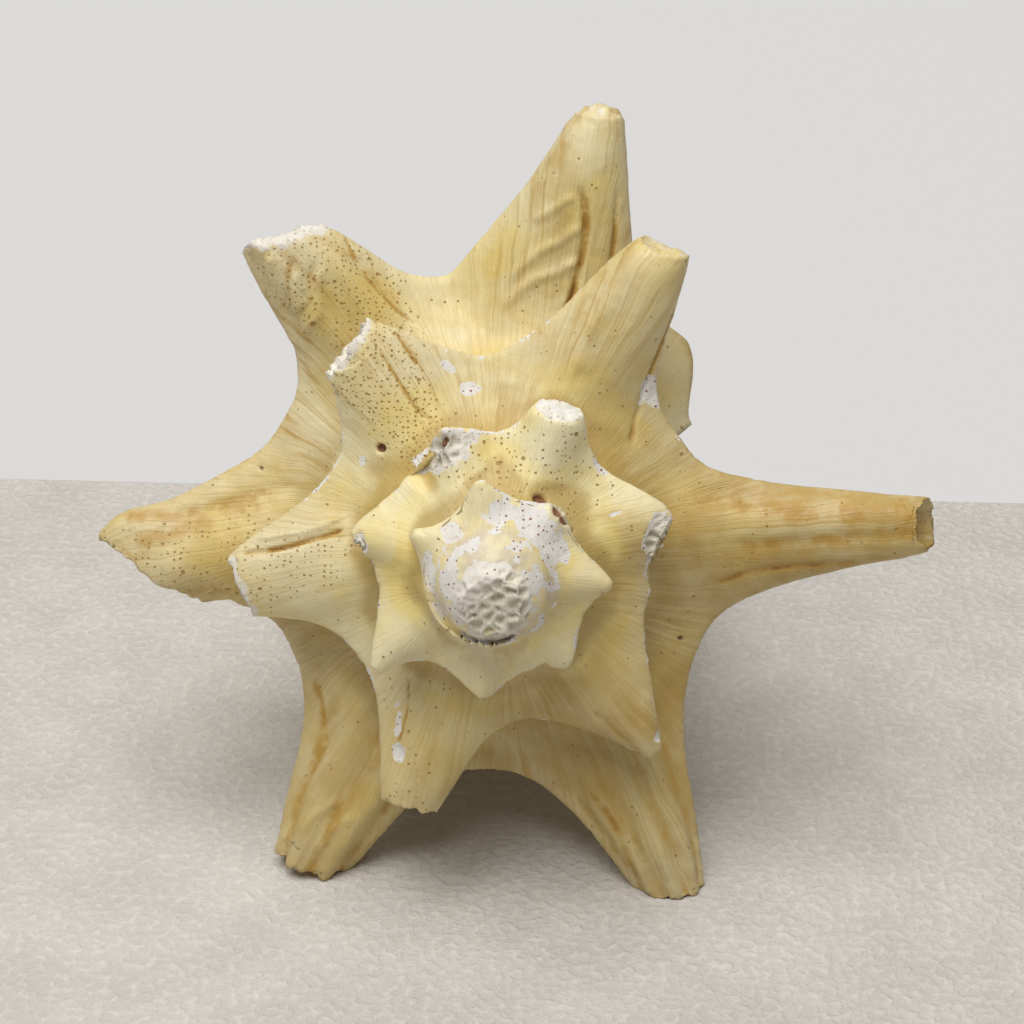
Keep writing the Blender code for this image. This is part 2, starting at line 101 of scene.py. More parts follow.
# Spines, oldest first: grow angle of the root, reach before and after it along the shoulder,
# grow angle, rho and depth of the tip, half width and half thickness of the tip,
# flare of the flank before and after, share of the ramp and of the side taken by the root,
# slope of the cut across the tip.
spines = (
    (209, 26, 26, 210, 17.2, 10.0, 1.0, 0.9, 2.0, 2.0, 0.9, 0.9, 0.0),
    (262, 26, 26, 261, 18.4, 11.2, 0.9, 0.8, 2.0, 2.0, 0.9, 0.9, 0.0),
    (312, 24, 22, 312, 17.6, 13.0, 1.4, 1.0, 2.0, 2.0, 0.9, 0.9, 0.0),
    (360, 25, 24, 363, 21.6, 13.8, 0.9, 0.8, 1.8, 1.8, 0.9, 0.9, 0.0),
    (408, 23, 23, 415, 21.0, 15.8, 1.6, 1.0, 1.6, 1.6, 0.9, 0.9, 0.0),
    (456, 24, 24, 454, 23.6, 17.2, 1.2, 1.0, 1.8, 1.8, 0.9, 0.9, 0.0),
    (506, 25, 26, 499, 29.3, 18.5, 1.3, 1.2, 2.0, 1.8, 0.95, 0.9, 0.0),
    (557, 25, 25, 549, 26.6, 20.6, 2.4, 1.5, 1.6, 1.8, 0.95, 0.9, 0.0),
    (605, 24, 24, 602, 25.4, 22.0, 5.0, 2.0, 1.4, 1.4, 0.95, 0.9, 0.0),
    (652, 23, 23, 650, 32.9, 22.6, 3.2, 2.4, 1.8, 1.8, 0.95, 0.9, 0.0),
    (705, 30, 30, 710, 31.4, 25.6, 4.8, 2.0, 1.5, 1.5, 0.95, 0.9, 0.0),
    (767, 32, 33, 770, 47.6, 28.0, 1.6, 1.5, 1.9, 1.7, 0.97, 0.92, 0.0),
    (833, 33, 33, 829, 52.4, 31.0, 4.8, 3.8, 2.4, 3.0, 0.97, 0.92, 0.0),
    (898, 32, 32, 892, 50.9, 34.0, 5.9, 3.8, 2.4, 2.2, 0.97, 0.92, 0.1),
    (957, 27, 28, 953, 49.6, 35.5, 6.2, 3.2, 1.8, 1.7, 0.97, 0.92, 0.1),
    (1014, 29, 29, 1017.2, 66.9, 37.5, 3.5, 2.8, 1.8, 2.4, 0.97, 0.92, -0.15),
    (1074, 27, 31, 1075, 84.0, 40.5, 4.5, 4.0, 3.2, 3.0, 0.97, 2.6, 0.0),
    (1138, 33, 34, 1143, 79.0, 44.4, 5.6, 4.4, 2.7, 2.4, 0.97, 2.8, 0.0),
    (1203, 31, 31, 1200, 77.6, 47.0, 6.2, 5.0, 2.8, 2.8, 0.97, 3.0, 0.0),
    (1263, 29, 29, 1253.6, 71.0, 49.0, 7.2, 4.8, 2.5, 3.4, 0.97, 3.0, 1.1),
    (1317, 25, 21, 1313, 74.2, 50.5, 5.6, 4.4, 2.0, 2.7, 0.97, 3.0, -0.52),
    (1366, 29, 24, 1361.4, 87.4, 52.0, 3.8, 3.8, 1.25, 4.4, 0.97, 3.0, 0.0),
)


def smooth(x):
    x = np.clip(x, 0.0, 1.0)
    return x * x * (3.0 - 2.0 * x)


def shoulderRadius(grow):
    t = (grow - 1400.0) / turn
    swell = 1.0 + 0.04 * np.exp(-(((grow - 1341.0) / 20.0) ** 2))
    growth = math.log(shellForm["whorlRatio"]) * t + shellForm["ratioChange"] * t * t
    return shellForm["shoulderEnd"] * swell * np.exp(growth)


def shoulderPoint(grow):
    # The shoulder sinks towards the older whorl just before the lip.
    radius = shoulderRadius(grow)
    foldTurn = shellForm["lipFoldTurn"]
    fold = 1.0 - shellForm["lipFold"] * smooth((grow - growEnd + foldTurn) / foldTurn)
    return np.stack([radius * fold, shellForm["depthPerRadius"] * radius - shellForm["depthShift"]], -1)


def attachPoint(grow):
    # Where the next whorl joins this one, just under the shoulder.
    start = shoulderPoint(np.full_like(grow, growStart))
    late = np.maximum(grow, growStart)
    opening = smooth((late - growStart) / shellForm["openTurn"])[:, None]
    radius = shoulderRadius(late)
    step = np.stack([-shellForm["attachInset"] * radius, shellForm["attachDrop"] * radius], -1)
    return np.where((grow <= growStart)[:, None], start, shoulderPoint(late) + opening * step)


# The value of s at every row of the half section.
knots = np.array([0.0, 0.33, 0.68, 1.0, 1.45, 2.0, 2.1, 2.22, 2.36, 2.5, 2.64, 2.77, 2.88, 2.96, 3.0])

# Across a spine's root, a step of s on the body counts this many times a step on the side above it.
bodyStretch = 23.0


def profilePoint(grow, s):
    # The half section of the whorl: s 0 at the suture, 1 on the shoulder, 2 where the next
    # whorl joins, 3 on the front tip of the shell.
    first = attachPoint(grow - turn)
    top = shoulderPoint(grow)
    join = attachPoint(grow)
    radius = shoulderRadius(grow)
    span = top - first
    inward = np.stack([-span[:, 1], span[:, 0]], -1)
    opening = smooth((grow - growStart) / shellForm["openTurn"])[:, None]
    slimTurn = shellForm["columellaTurn"]
    slim = 1.0 - shellForm["columellaInset"] * smooth((growEnd - turn + slimTurn - grow) / slimTurn)
    fold = top[:, 0] / radius
    rows = [
        first,
        first + 0.33 * span + 0.9 * shellForm["rampSag"] * inward,
        first + 0.68 * span + 0.8 * shellForm["rampSag"] * inward,
        top,
        top + 0.45 * (join - top) + opening * np.stack([0.012 * top[:, 0], 0.0 * top[:, 0]], -1),
        join,
    ]
    for share, width in bodyProfile:
        depth = top[:, 1] + share * (shellForm["length"] - top[:, 1])
        body = 1.0 + min(share / 0.2, 1.0) * (slim - 1.0)
        body *= 1.0 + (fold - 1.0) * (1.0 - 0.8 * float(smooth((share - 0.1) / 0.3)))
        rows.append(np.stack([width * radius * body, depth], -1))
    noseDepth = shellForm["length"] - shellForm["noseRound"]
    nose = [np.full(len(grow), shellForm["noseRadius"]), np.full(len(grow), noseDepth)]
    rows.append(np.stack(nose, -1))
    points = np.stack(rows)
    slopes = np.empty_like(points)
    slopes[1:-1] = (points[2:] - points[:-2]) / (knots[2:] - knots[:-2])[:, None, None]
    slopes[0] = (points[1] - points[0]) / (knots[1] - knots[0])
    slopes[-1] = (points[-1] - points[-2]) / (knots[-1] - knots[-2])
    cell = np.clip(np.searchsorted(knots, s, side="right") - 1, 0, len(knots) - 2)
    pick = np.arange(len(s))
    width = knots[cell + 1] - knots[cell]
    u = ((s - knots[cell]) / width)[:, None]
    a, b = points[cell, pick], points[cell + 1, pick]
    da, db = slopes[cell, pick] * width[:, None], slopes[cell + 1, pick] * width[:, None]
    return (
        a * (2 * u**3 - 3 * u**2 + 1)
        + b * (3 * u**2 - 2 * u**3)
        + da * (u**3 - 2 * u**2 + u)
        + db * (u**3 - u**2)
    )


def aroundAxis(grow, section):
    angle = np.radians(-grow)
    return np.stack([section[:, 0] * np.cos(angle), section[:, 0] * np.sin(angle), section[:, 1]], -1)


def sideShare(s):
    return np.where(s <= 2.0, s - 1.0, 1.0 + (s - 2.0) * bodyStretch)


def spineField(spine, grow, s):
    # Distance from the root centre, 1 on the rim of the root, and the angle around it.
    root, before, after = spine[0], spine[1], spine[2]
    along = np.where(grow < root, (grow - root) / before, (grow - root) / after)
    across = np.where(s < 1.0, (s - 1.0) / spine[10], sideShare(s) / spine[11])
    return np.hypot(along, across), np.arctan2(across, along)


def tipShare(spine):
    # Share of the root's width that is left at the tip.
    root = shoulderRadius(np.array([spine[0]]))[0]
    return float(np.clip(spine[6] / (math.radians(0.5 * (spine[1] + spine[2])) * root), 0.06, 0.5))


def spinePush(spine, grow, s, base):
    # Pulls the surface out to the tip of one spine.
    centre = aroundAxis(np.array([float(spine[0])]), shoulderPoint(np.array([float(spine[0])])))[0]
    tip = aroundAxis(np.array([float(spine[3])]), np.array([[spine[4], spine[5]]]))[0]
    reach = tip - centre
    length = np.linalg.norm(reach)
    ahead = reach / length
    angle = math.radians(-spine[0])
    along = np.array([math.sin(angle), -math.cos(angle), 0.0])
    along -= ahead * (along @ ahead)
    along /= np.linalg.norm(along)
    across = np.cross(along, ahead)
    across *= np.sign(across[2])
    q, turnAround = spineField(spine, grow, s)
    left = tipShare(spine)
    blend = smooth(0.5 + 0.5 * np.cos(turnAround))
    flare = spine[8] + (spine[9] - spine[8]) * blend
    rise = np.clip((1.0 - q) / (1.0 - left), 0.0, 1.0) ** flare
    offset = base - centre
    oldAlong, oldAcross, oldAhead = offset @ along, offset @ across, offset @ ahead
    newAlong = q / left * spine[6] * np.cos(turnAround)
    newAcross = q / left * spine[7] * np.sin(turnAround)
    mix = smooth(rise)
    climb = rise * length + oldAhead * (1.0 - mix) + spine[12] * mix**2 * newAlong
    moved = centre + np.outer(climb, ahead)
    moved += np.outer(oldAlong + mix * (newAlong - oldAlong), along)
    moved += np.outer(oldAcross + mix * (newAcross - oldAcross), across)
    return np.where((q < 1.0)[:, None], moved, base)


def outerPoint(grow, s):
    base = aroundAxis(grow, profilePoint(grow, s))
    for spine in spines:
        near = (grow > spine[0] - spine[1]) & (grow < spine[0] + spine[2])
        if near.any():
            base[near] = spinePush(spine, grow[near], s[near], base[near])
    return base


def domePoint(x, y):
    # The crusted first whorls, a rounded knob over the unit disc.
    ring = shoulderPoint(np.array([growStart]))[0]
    r2 = np.minimum(x * x + y * y, 1.0)
    lift = np.sqrt(1.0 - 0.93 * r2**1.1) - math.sqrt(0.07)
    return np.stack([ring[0] * x, ring[0] * y, ring[1] - shellForm["domeRise"] * lift], -1)


def nosePoint(x, y):
    # The rounded front tip over the unit disc.
    r2 = np.minimum(x * x + y * y, 1.0)
    radius = shellForm["noseRadius"]
    return np.stack([radius * x, radius * y, shellForm["length"] - shellForm["noseRound"] * r2], -1)


def mouthPoint(depth, r):
    # The inside of the last whorl. r 0 to 3 runs along its outer wall and 3 to 4 back along the
    # older whorl inside it, depth 0 is the lip and 1 the blind end.
    grow = growEnd - shellForm["mouthTurn"] * depth
    enter = np.clip(depth * shellForm["mouthTurn"] / shellForm["lipRound"], 0.0, 1.0)
    enter = np.sqrt(1.0 - (1.0 - enter) ** 2)
    wall = r <= 3.0
    t = np.where(wall, mouthShare(r), 4.0 - r)
    skip = 0.045 * enter
    inner = profilePoint(grow - turn, 2.0 + skip + (1.0 - skip * 2.2) * t)
    outer = profilePoint(grow, np.minimum(r, 3.0))
    gap = np.linalg.norm(outer - inner, axis=1)
    left = np.clip(1.0 - shellForm["lipThickness"] / np.maximum(gap, 1e-6), 0.12, 1.0)
    window = np.sqrt(np.clip(np.minimum(t, 1.0 - t) / 0.06, 0.0, 1.0))
    close = np.sqrt(1.0 - 0.9 * depth**3)
    share = window**enter * (1.0 + enter * (left * close - 1.0))
    section = np.where(wall[:, None], inner + (outer - inner) * share[:, None], inner)
    return aroundAxis(grow, section)


def mouthShare(r):
    return np.where(r < 2.0, 0.05 * r, 0.1 + 0.9 * (r - 2.0))


def blindPoint(r, across):
    # The closed inner end of the mouth, from its outer wall over to the older whorl.
    deep = np.ones(len(r))
    outer, inner = mouthPoint(deep, r), mouthPoint(deep, 4.0 - mouthShare(r))
    return outer + (inner - outer) * across[:, None]


def toWorld(points):
    tilt = math.radians(shellForm["axisTilt"])
    c, k = math.cos(tilt), math.sin(tilt)
    x, up, w = points[:, 0], points[:, 1], points[:, 2]
    back = w * c + up * k - shellForm["middleY"]
    out = np.stack([x - shellForm["middleX"], back, up * c - w * k + shellForm["apexHeight"]], -1)
    out[:, 2] = np.maximum(out[:, 2], 0.0)
    return out


def surfacePoint(patch, a, b):
    out = np.zeros((len(a), 3))
    makers = (outerPoint, domePoint, mouthPoint, nosePoint, blindPoint)
    for index, make in enumerate(makers):
        here = patch == index
        if here.any():
            out[here] = make(a[here], b[here])
    return toWorld(out)


def flatPosition(grow, s):
    # A flat map in which steps have about the same length as on the shell, over the radius.
    s = np.asarray(s, float)
    up = np.where(s < 1, 0.30 * s, np.where(s < 2, 0.30 + 0.15 * (s - 1), 0.45 + 3.0 * (s - 2)))
    return np.radians(grow), up


def outerMesh(step, rampRows, bodyRows, rings, sectors):
    # Points on a grid, rings of points round every spine, then triangles between them all.
    seen = {}
    coords = []
    edges = []

    def add(grow, s):
        key = (round(float(grow), 4), round(float(s), 5))
        if key not in seen:
            seen[key] = len(coords)
            coords.append(key)
        return seen[key]

    def chain(points):
        ids = [add(*p) for p in points]
        edges.extend(zip(ids[:-1], ids[1:]))

    grows = np.arange(growStart, growEnd + 1e-6, step)
    mouthGrow = growEnd - turn
    early = [g for g in grows[1:] if g <= mouthGrow + 1e-6]
    late = [g for g in grows if g >= mouthGrow - 1e-6]
    bodyOnly = [r for r in bodyRows if r > 2]
    chain([(growStart, 1.0)] + [(g, 0.0) for g in grows[1:]])
    chain([(growStart, 1.0)] + [(g, 2.0) for g in early])
    chain([(g, 3.0) for g in late])
    chain([(mouthGrow, s) for s in [2.0] + bodyOnly + [3.0]])
    chain([(growEnd, s) for s in list(rampRows) + [2.0] + bodyOnly + [3.0]])

    def insideSpine(grow, s):
        for spine in spines:
            q, _ = spineField(spine, np.array([grow]), np.array([s]))
            if q[0] < 1.06:
                return True
        return False

    for spine in spines:
        left = tipShare(spine)
        flare = 0.5 * (spine[8] + spine[9])
        length = spine[4] - shoulderRadius(np.array([spine[0]]))[0]
        count = max(2, round(rings * min(1.0, 0.35 + length / 30.0)))
        around = max(8, int(sectors * min(1.0, 0.55 + length / 30.0)) // 2 * 2)
        levels = [1.0 - (1.0 - left) * (k / count) ** (1.0 / flare) for k in range(1, count + 1)]
        levels += [0.45 * left] if spine[6] > 2.2 else []
        for level in levels:
            loop = []
            for k in range(around):
                angle = 2.0 * math.pi * k / around
                u, v = level * math.cos(angle), level * math.sin(angle)
                grow = spine[0] + u * (spine[1] if u < 0 else spine[2])
                if v < 0:
                    s = 1.0 + v * spine[10]
                else:
                    side = v * spine[11]
                    s = 1.0 + side if side <= 1.0 else 2.0 + (side - 1.0) / bodyStretch
                loop.append((grow, s))
            chain(loop + loop[:1])
        add(spine[0], 1.0)
    for g in grows:
        for s in rampRows:
            if 0 < s < 2 and growStart < g < growEnd and not insideSpine(g, s):
                add(g, s)
        if mouthGrow < g < growEnd:
            for s in bodyRows:
                if not insideSpine(g, s):
                    add(g, s)
    chain(sorted(p for p in coords if p[1] == 1.0))
    table = np.array(coords)
    x, y = flatPosition(table[:, 0], table[:, 1])
    found = delaunay_2d_cdt([Vector(p) for p in zip(x, y)], edges, [], 0, 1e-7)
    if len(found[0]) != len(coords):
        raise RuntimeError("the flat map gained points")
    order = [source[0] for source in found[3]]
    faces = np.array([[order[i] for i in face] for face in found[2]])
    middle = table[faces].mean(1)
    keep = (middle[:, 1] < 2.0) | (middle[:, 0] > mouthGrow)
    first = middle[:, 0] < growStart + step
    keep &= ~first | (np.abs(middle[:, 1] - 1.0) < (middle[:, 0] - growStart) / step + 1e-9)
    return table[faces[keep]]


def discMesh(count, radii, turnAt):
    # Triangles over the unit disc, whose rim points stand at the given angles.
    ring = [turnAt + math.tau * k / count for k in range(count + 1)]
    tris = []
    for a0, a1 in zip(ring[:-1], ring[1:]):
        for r0, r1 in zip(radii[:-1], radii[1:]):
            p = [(r * math.cos(a), r * math.sin(a)) for r, a in ((r0, a0), (r0, a1), (r1, a1), (r1, a0))]
            if r0 > 0:
                tris.append([p[0], p[1], p[2]])
            tris.append([p[0], p[2], p[3]])
    return np.array(tris)


def mouthMesh(rampRows, bodyRows, depths):
    bodyOnly = [r for r in bodyRows if r > 2]
    outerRows = list(rampRows) + [2.0] + bodyOnly + [3.0]
    innerRows = [6.0 - s for s in [2.0] + bodyOnly + [3.0]][::-1]
    ring = outerRows + innerRows[1:]
    tris = []
    for d0, d1 in zip(depths[:-1], depths[1:]):
        for r0, r1 in zip(ring[:-1], ring[1:]):
            tris.append([(d0, r0), (d0, r1), (d1, r1)])
            tris.append([(d0, r0), (d1, r1), (d1, r0)])
    return np.array(tris)


def blindMesh(rampRows, bodyRows):
    # A strip of triangles between the two walls at the blind end.
    bodyOnly = [r for r in bodyRows if r > 2]
    a = list(rampRows) + [2.0] + bodyOnly + [3.0]
    shares = [s - 2.0 for s in [2.0] + bodyOnly + [3.0]]
    b = [t / 0.05 if t < 0.1 else 2.0 + (t - 0.1) / 0.9 for t in shares]
    tris = []
    i = j = 0
    while i < len(a) - 1 or j < len(b) - 1:
        if j == len(b) - 1 or (i < len(a) - 1 and a[i + 1] <= b[j + 1]):
            tris.append([(a[i], 0.0), (a[i + 1], 0.0), (b[j], 1.0)])
            i += 1
        else:
            tris.append([(a[i], 0.0), (b[j + 1], 1.0), (b[j], 1.0)])
            j += 1
    return np.array(tris)


def weld(points):
    # One number per place, so that patches share their border points.
    keys = np.round(points / 1e-4).astype(np.int64)
    _, first, back = np.unique(keys, axis=0, return_index=True, return_inverse=True)
    return points[first], back.ravel()


def refine(points, faces, corners, patch, target, rounds=24):
    # Splits the longest edges until none is longer than its target length.
    towards = np.array(viewDirection())
    for _ in range(rounds):
        pairs = faces[:, [[0, 1], [1, 2], [2, 0]]]
        keys = np.sort(pairs.reshape(-1, 2), 1)
        code = keys[:, 0] * len(points) + keys[:, 1]
        _, first, back = np.unique(code, return_index=True, return_inverse=True)
        ends = keys[first]
        length = np.linalg.norm(points[ends[:, 0]] - points[ends[:, 1]], axis=1)
        middle = 0.5 * (points[ends[:, 0]] + points[ends[:, 1]])
        cross = faceNormals(points, faces[first // 3])
        facing = cross @ towards / np.maximum(np.linalg.norm(cross, axis=1), 1e-12)
        marked = length > target(middle, patch[first // 3], facing)
        if not marked.any():
            break
        back = back.reshape(-1, 3)
        longest = np.argmax(length[back] + 1e-9 * (back % 97), axis=1)
        longEdge = back[np.arange(len(faces)), longest]
        while True:
            touched = marked[back].any(1)
            fresh = ~marked[longEdge[touched]]
            if not fresh.any():
                break
            marked[longEdge[touched]] = True
        number = np.full(len(marked), -1)
        number[marked] = len(points) + np.arange(marked.sum())
        owner, side = first[marked] // 3, first[marked] % 3
        middle = 0.5 * (corners[owner, side] + corners[owner, (side + 1) % 3])
        points = np.concatenate([points, surfacePoint(patch[owner], middle[:, 0], middle[:, 1])])
        roll = (longest[:, None] + np.arange(3)) % 3
        pick = np.arange(len(faces))[:, None]
        v, c, e = faces[pick, roll], corners[pick, roll], number[back[pick, roll]]
        whole = e[:, 0] < 0
        outF, outC, outP = [v[whole]], [c[whole]], [patch[whole]]
        mids = [0.5 * (c[:, k] + c[:, (k + 1) % 3]) for k in range(3)]

        def emit(rows, ids, places):
            outF.append(np.stack([x[rows] for x in ids], 1))
            outC.append(np.stack([x[rows] for x in places], 1))
            outP.append(patch[rows])

        cut = ~whole
        m, mc = e[:, 0], mids[0]
        plain = cut & (e[:, 2] < 0)
        emit(plain, (v[:, 0], m, v[:, 2]), (c[:, 0], mc, c[:, 2]))
        split = cut & (e[:, 2] >= 0)
        emit(split, (v[:, 0], m, e[:, 2]), (c[:, 0], mc, mids[2]))
        emit(split, (e[:, 2], m, v[:, 2]), (mids[2], mc, c[:, 2]))
        plain = cut & (e[:, 1] < 0)
        emit(plain, (m, v[:, 1], v[:, 2]), (mc, c[:, 1], c[:, 2]))
        split = cut & (e[:, 1] >= 0)
        emit(split, (m, v[:, 1], e[:, 1]), (mc, c[:, 1], mids[1]))
        emit(split, (m, e[:, 1], v[:, 2]), (mc, mids[1], c[:, 2]))
        faces, corners, patch = np.concatenate(outF), np.concatenate(outC), np.concatenate(outP)
        order = np.argsort(patch, kind="stable")
        faces, corners, patch = faces[order], corners[order], patch[order]
    return points, faces, corners, patch


def shellMesh(step, rampRows, bodyRows, rings, sectors, target):
    outer = outerMesh(step, rampRows, bodyRows, rings, sectors)
    count = int(round(turn / step))
    dome = discMesh(count, (0.0, 0.35, 0.7, 0.9, 1.0), math.radians(-growStart))
    depths = (0.0, 0.012, 0.034, 0.1, 0.2, 0.32, 0.44, 0.56, 0.68, 0.8, 0.92, 1.0)
    mouth = mouthMesh(rampRows, bodyRows, depths)
    nose = discMesh(count, (0.0, 1.0), math.radians(-growStart))
    blind = blindMesh(rampRows, bodyRows)
    meshes = (outer, dome[:, ::-1], mouth[:, ::-1], nose, blind[:, ::-1])
    patch = np.concatenate([np.full(len(x), k) for k, x in enumerate(meshes)])
    corners = np.concatenate(meshes)
    flat = corners.reshape(-1, 2)
    points, back = weld(surfacePoint(np.repeat(patch, 3), flat[:, 0], flat[:, 1]))
    faces = back.reshape(-1, 3)
    good = (faces[:, 0] != faces[:, 1]) & (faces[:, 1] != faces[:, 2]) & (faces[:, 2] != faces[:, 0])
    return refine(points, faces[good], corners[good], patch[good], target)


# Camera at the photo's angle. The target is the point in the middle of the picture.
cameraView = {
    "azimuth": 2.9,
    "elevation": 29.1,
    "distance": 0.43175,
    "target": (0.0019, -0.0979, 0.0912),
    "lens": 85.0,
    "sensor": 36.0,
}


def viewDirection():
    # From the shell towards the camera.
    side, rise = math.radians(cameraView["azimuth"]), math.radians(cameraView["elevation"])
    return Vector((math.sin(side) * math.cos(rise), -math.cos(side) * math.cos(rise), math.sin(rise)))


# Mesh density, in millimetres: the longest triangle edges, how fast they grow away from fine detail,
# and the sutures, as grow angles, that are meshed finely.
shellMeshing = {
    "facingEdge": 1.5,
    "hiddenEdge": 3.9,
    "mouthEdge": 4.5,
    "spread": 0.5,
    "lineEdge": 0.72,
    "markEdge": 0.58,
    "tipEdge": 0.85,
    "sutureEdge": 0.75,
    "sutures": ((600.0, 700.0), (935.0, 1047.0)),
}

# Grooves and ridges on the shell: places along them as grow angle and s, half width and height in millimetres
# (a groove's height is negative), and how deep their stain is; on the third spine's fold that stain is
# painted shadow.
surfaceLines = {
    "lip spine, left groove": (
        ((1363.5, 0.704), (1365.9, 0.668), (1366.5, 0.606), (1365.8, 0.485), (1364, 0.36)), 0.65, -0.9, 0.95),
    "lip spine, right groove": (
        ((1370.0, 0.84), (1371.6, 0.747), (1373, 0.6), (1374, 0.45)), 0.5, -0.6, 0.7),
    "lip spine, rib 1": (((1366.0, 0.65), (1360.8, 0.567), (1355.0, 0.544), (1349, 0.53)), 1.0, 0.5, 0.0),
    "lip spine, rib 2": (((1363.7, 0.679), (1358.6, 0.647), (1353.4, 0.665)), 0.9, 0.4, 0.0),
    "lip spine, rib 3": (((1366.9, 0.587), (1360.9, 0.495), (1354.3, 0.465), (1347, 0.44)), 1.1, 0.5, 0.0),
    "eighth, groove 1": (((970.4, 0.9), (970.4, 0.82), (970.4, 0.71), (970.5, 0.639)), 0.3, -0.45, 0.9),
    "eighth, groove 2": (
        ((963.6, 0.633), (963.5, 0.525), (963.2, 0.424), (963.7, 0.343), (966.7, 0.289)), 0.32, -0.35, 0.8),
    "ninth, groove": (
        ((907.7, 0.82), (907.6, 0.68), (908.5, 0.61), (910.9, 0.537), (913.1, 0.48)), 0.45, -0.8, 1.0),
    "ninth, ridge": (((910.2, 0.861), (911.4, 0.706), (913.0, 0.63), (917.6, 0.56)), 0.5, 0.6, 0.0),
    "second, crease": (((1323.9, 1.0), (1324.2, 0.717), (1325.8, 0.639), (1329.0, 0.552)), 0.35, -0.3, 0.6),
    "second, groove 1": (((1315.1, 0.722), (1309.6, 0.773), (1305.8, 0.948)), 0.6, -0.35, 0.32),
    "second, groove 2": (((1317.7, 0.685), (1311.7, 0.658), (1305.9, 0.758)), 0.7, -0.4, 0.36),
    "second, groove 3": (((1319.8, 0.68), (1313.3, 0.594), (1305.5, 0.725)), 0.6, -0.4, 0.34),
    "second, ridge 1": (((1315.4, 0.692), (1306.9, 0.788), (1302.0, 0.931)), 0.8, 0.4, 0.0),
    "second, ridge 2": (((1317.4, 0.649), (1309.3, 0.651), (1302.1, 0.86)), 0.8, 0.45, 0.0),
    "second, ridge 3": (((1320.5, 0.671), (1312.6, 0.565), (1300.5, 0.835)), 0.8, 0.4, 0.0),
    "seventh, crease": (
        ((1021.0, 0.95), (1026.0, 0.897), (1031.8, 0.789), (1039.5, 0.51)), 0.6, -0.5, 0.75),
    "seventh, ridge": (((1009.5, 0.92), (1008.7, 0.715), (1007.3, 0.585), (1009.8, 0.424)), 1.7, 0.7, 0.0),
    "sixth, upper streak": (
        ((1060.0, 0.6), (1064.6, 0.666), (1068.0, 0.699), (1069.8, 0.748), (1071.8, 0.9)), 2.3, -0.35, 0.6),
    "sixth, lower streak": (
        ((1076.6, 0.5), (1075.7, 0.628), (1075.0, 0.706), (1074.5, 0.85)), 1.5, -0.3, 0.6),
    "sixth, brown line": (
        ((1089.6, 0.66), (1085.1, 0.666), (1083.2, 0.736), (1081.8, 0.85)), 0.8, -0.3, 0.9),
    # The third spine's fold: a shallow groove whose stain value paints the shadow under the fold.
    "third, fold with painted shadow": (((1272.2, 0.95), (1272.3, 0.769), (1273.5, 0.674), (1277.7, 0.517)), 1.4, -0.3, 0.45),
    "fourth, brown mark": (((1225.1, 0.86), (1218.8, 0.755), (1214.1, 0.685), (1212.8, 0.796)), 0.8, -0.3, 0.65),
    "fourth, ridge 1": (((1203.7, 0.8), (1202.1, 0.682), (1199.8, 0.642)), 0.9, 0.45, 0.0),
    "fourth, ridge 2": (((1209.1, 0.829), (1207.1, 0.694), (1203.8, 0.609)), 0.9, 0.45, 0.0),
    "fifth, brown mark": (((1149.8, 0.62), (1145.9, 0.66), (1145.2, 0.733), (1144.8, 0.86)), 0.8, -0.3, 0.7),
    "fifth, ridge 1": (((1136.1, 0.552), (1139.6, 0.646), (1142.3, 0.77)), 0.9, 0.4, 0.0),
    "fifth, ridge 2": (((1130.8, 0.579), (1134.8, 0.655), (1137.8, 0.749)), 0.9, 0.4, 0.0),
    "tenth, crack": (((849.6, 0.562), (843.9, 0.608), (842.6, 0.645), (841.6, 0.7)), 0.3, -0.35, 0.9),
    "eleventh, brown mark": (((776.6, 0.6), (773.4, 0.759), (770.6, 0.93)), 0.6, -0.25, 0.5),
}


def linePoints(places, count=24):
    # A smooth run of points through the places, on the finished form.
    table = np.array(places, float)
    k = np.arange(len(table))
    u = np.linspace(0.0, len(table) - 1.0, count)
    slopes = np.gradient(table, axis=0) if len(table) > 2 else np.repeat(table[1:] - table[:1], 2, 0)
    cell = np.minimum(u.astype(int), len(table) - 2)
    t = (u - cell)[:, None]
    a, b, da, db = table[cell], table[cell + 1], slopes[cell], slopes[cell + 1]
    run = a * (2 * t**3 - 3 * t**2 + 1) + b * (3 * t**2 - 2 * t**3)
    run += da * (t**3 - 2 * t**2 + t) + db * (t**3 - t**2)
    return surfacePoint(np.zeros(count, int), run[:, 0], run[:, 1])


def lineDistance(points, run):
    # Distance to the run, and the share of the run at the nearest place.
    best = np.full(len(points), 1e9)
    share = np.zeros(len(points))
    for k, (a, b) in enumerate(zip(run[:-1], run[1:])):
        span = b - a
        t = np.clip((points - a) @ span / max(span @ span, 1e-9), 0.0, 1.0)
        away = np.linalg.norm(points - a - t[:, None] * span, axis=1)
        closer = away < best
        best[closer] = away[closer]
        share[closer] = (k + t[closer]) / (len(run) - 1)
    return best, share


class CloseWork:
    # A coarse box of cells that holds the longest edge allowed near fine detail.
    def __init__(self, low, high):
        self.low = np.floor(low) - 6.0
        self.size = (np.ceil(high) + 6.0 - self.low).astype(int)
        self.limit = np.full(self.size, 99.0)

    def add(self, places, reach, edge):
        margin = int(reach + 10.0)
        steps = np.arange(-margin, margin + 1)
        offsets = np.stack(np.meshgrid(steps, steps, steps, indexing="ij"), -1).reshape(-1, 3)
        for place in places:
            cells = np.floor(place - self.low).astype(int) + offsets
            cells = cells[((cells >= 0) & (cells < self.size)).all(1)]
            away = np.linalg.norm(cells + self.low + 0.5 - place, axis=1) - reach
            value = edge + shellMeshing["spread"] * np.clip(away, 0.0, None)
            at = tuple(cells.T)
            self.limit[at] = np.minimum(self.limit[at], value)

    def at(self, points):
        cells = np.clip(np.floor(points - self.low).astype(int), 0, self.size - 1)
        return self.limit[tuple(cells.T)]


closeWork = CloseWork(np.array(cadLow) * 1000.0, np.array(cadHigh) * 1000.0)


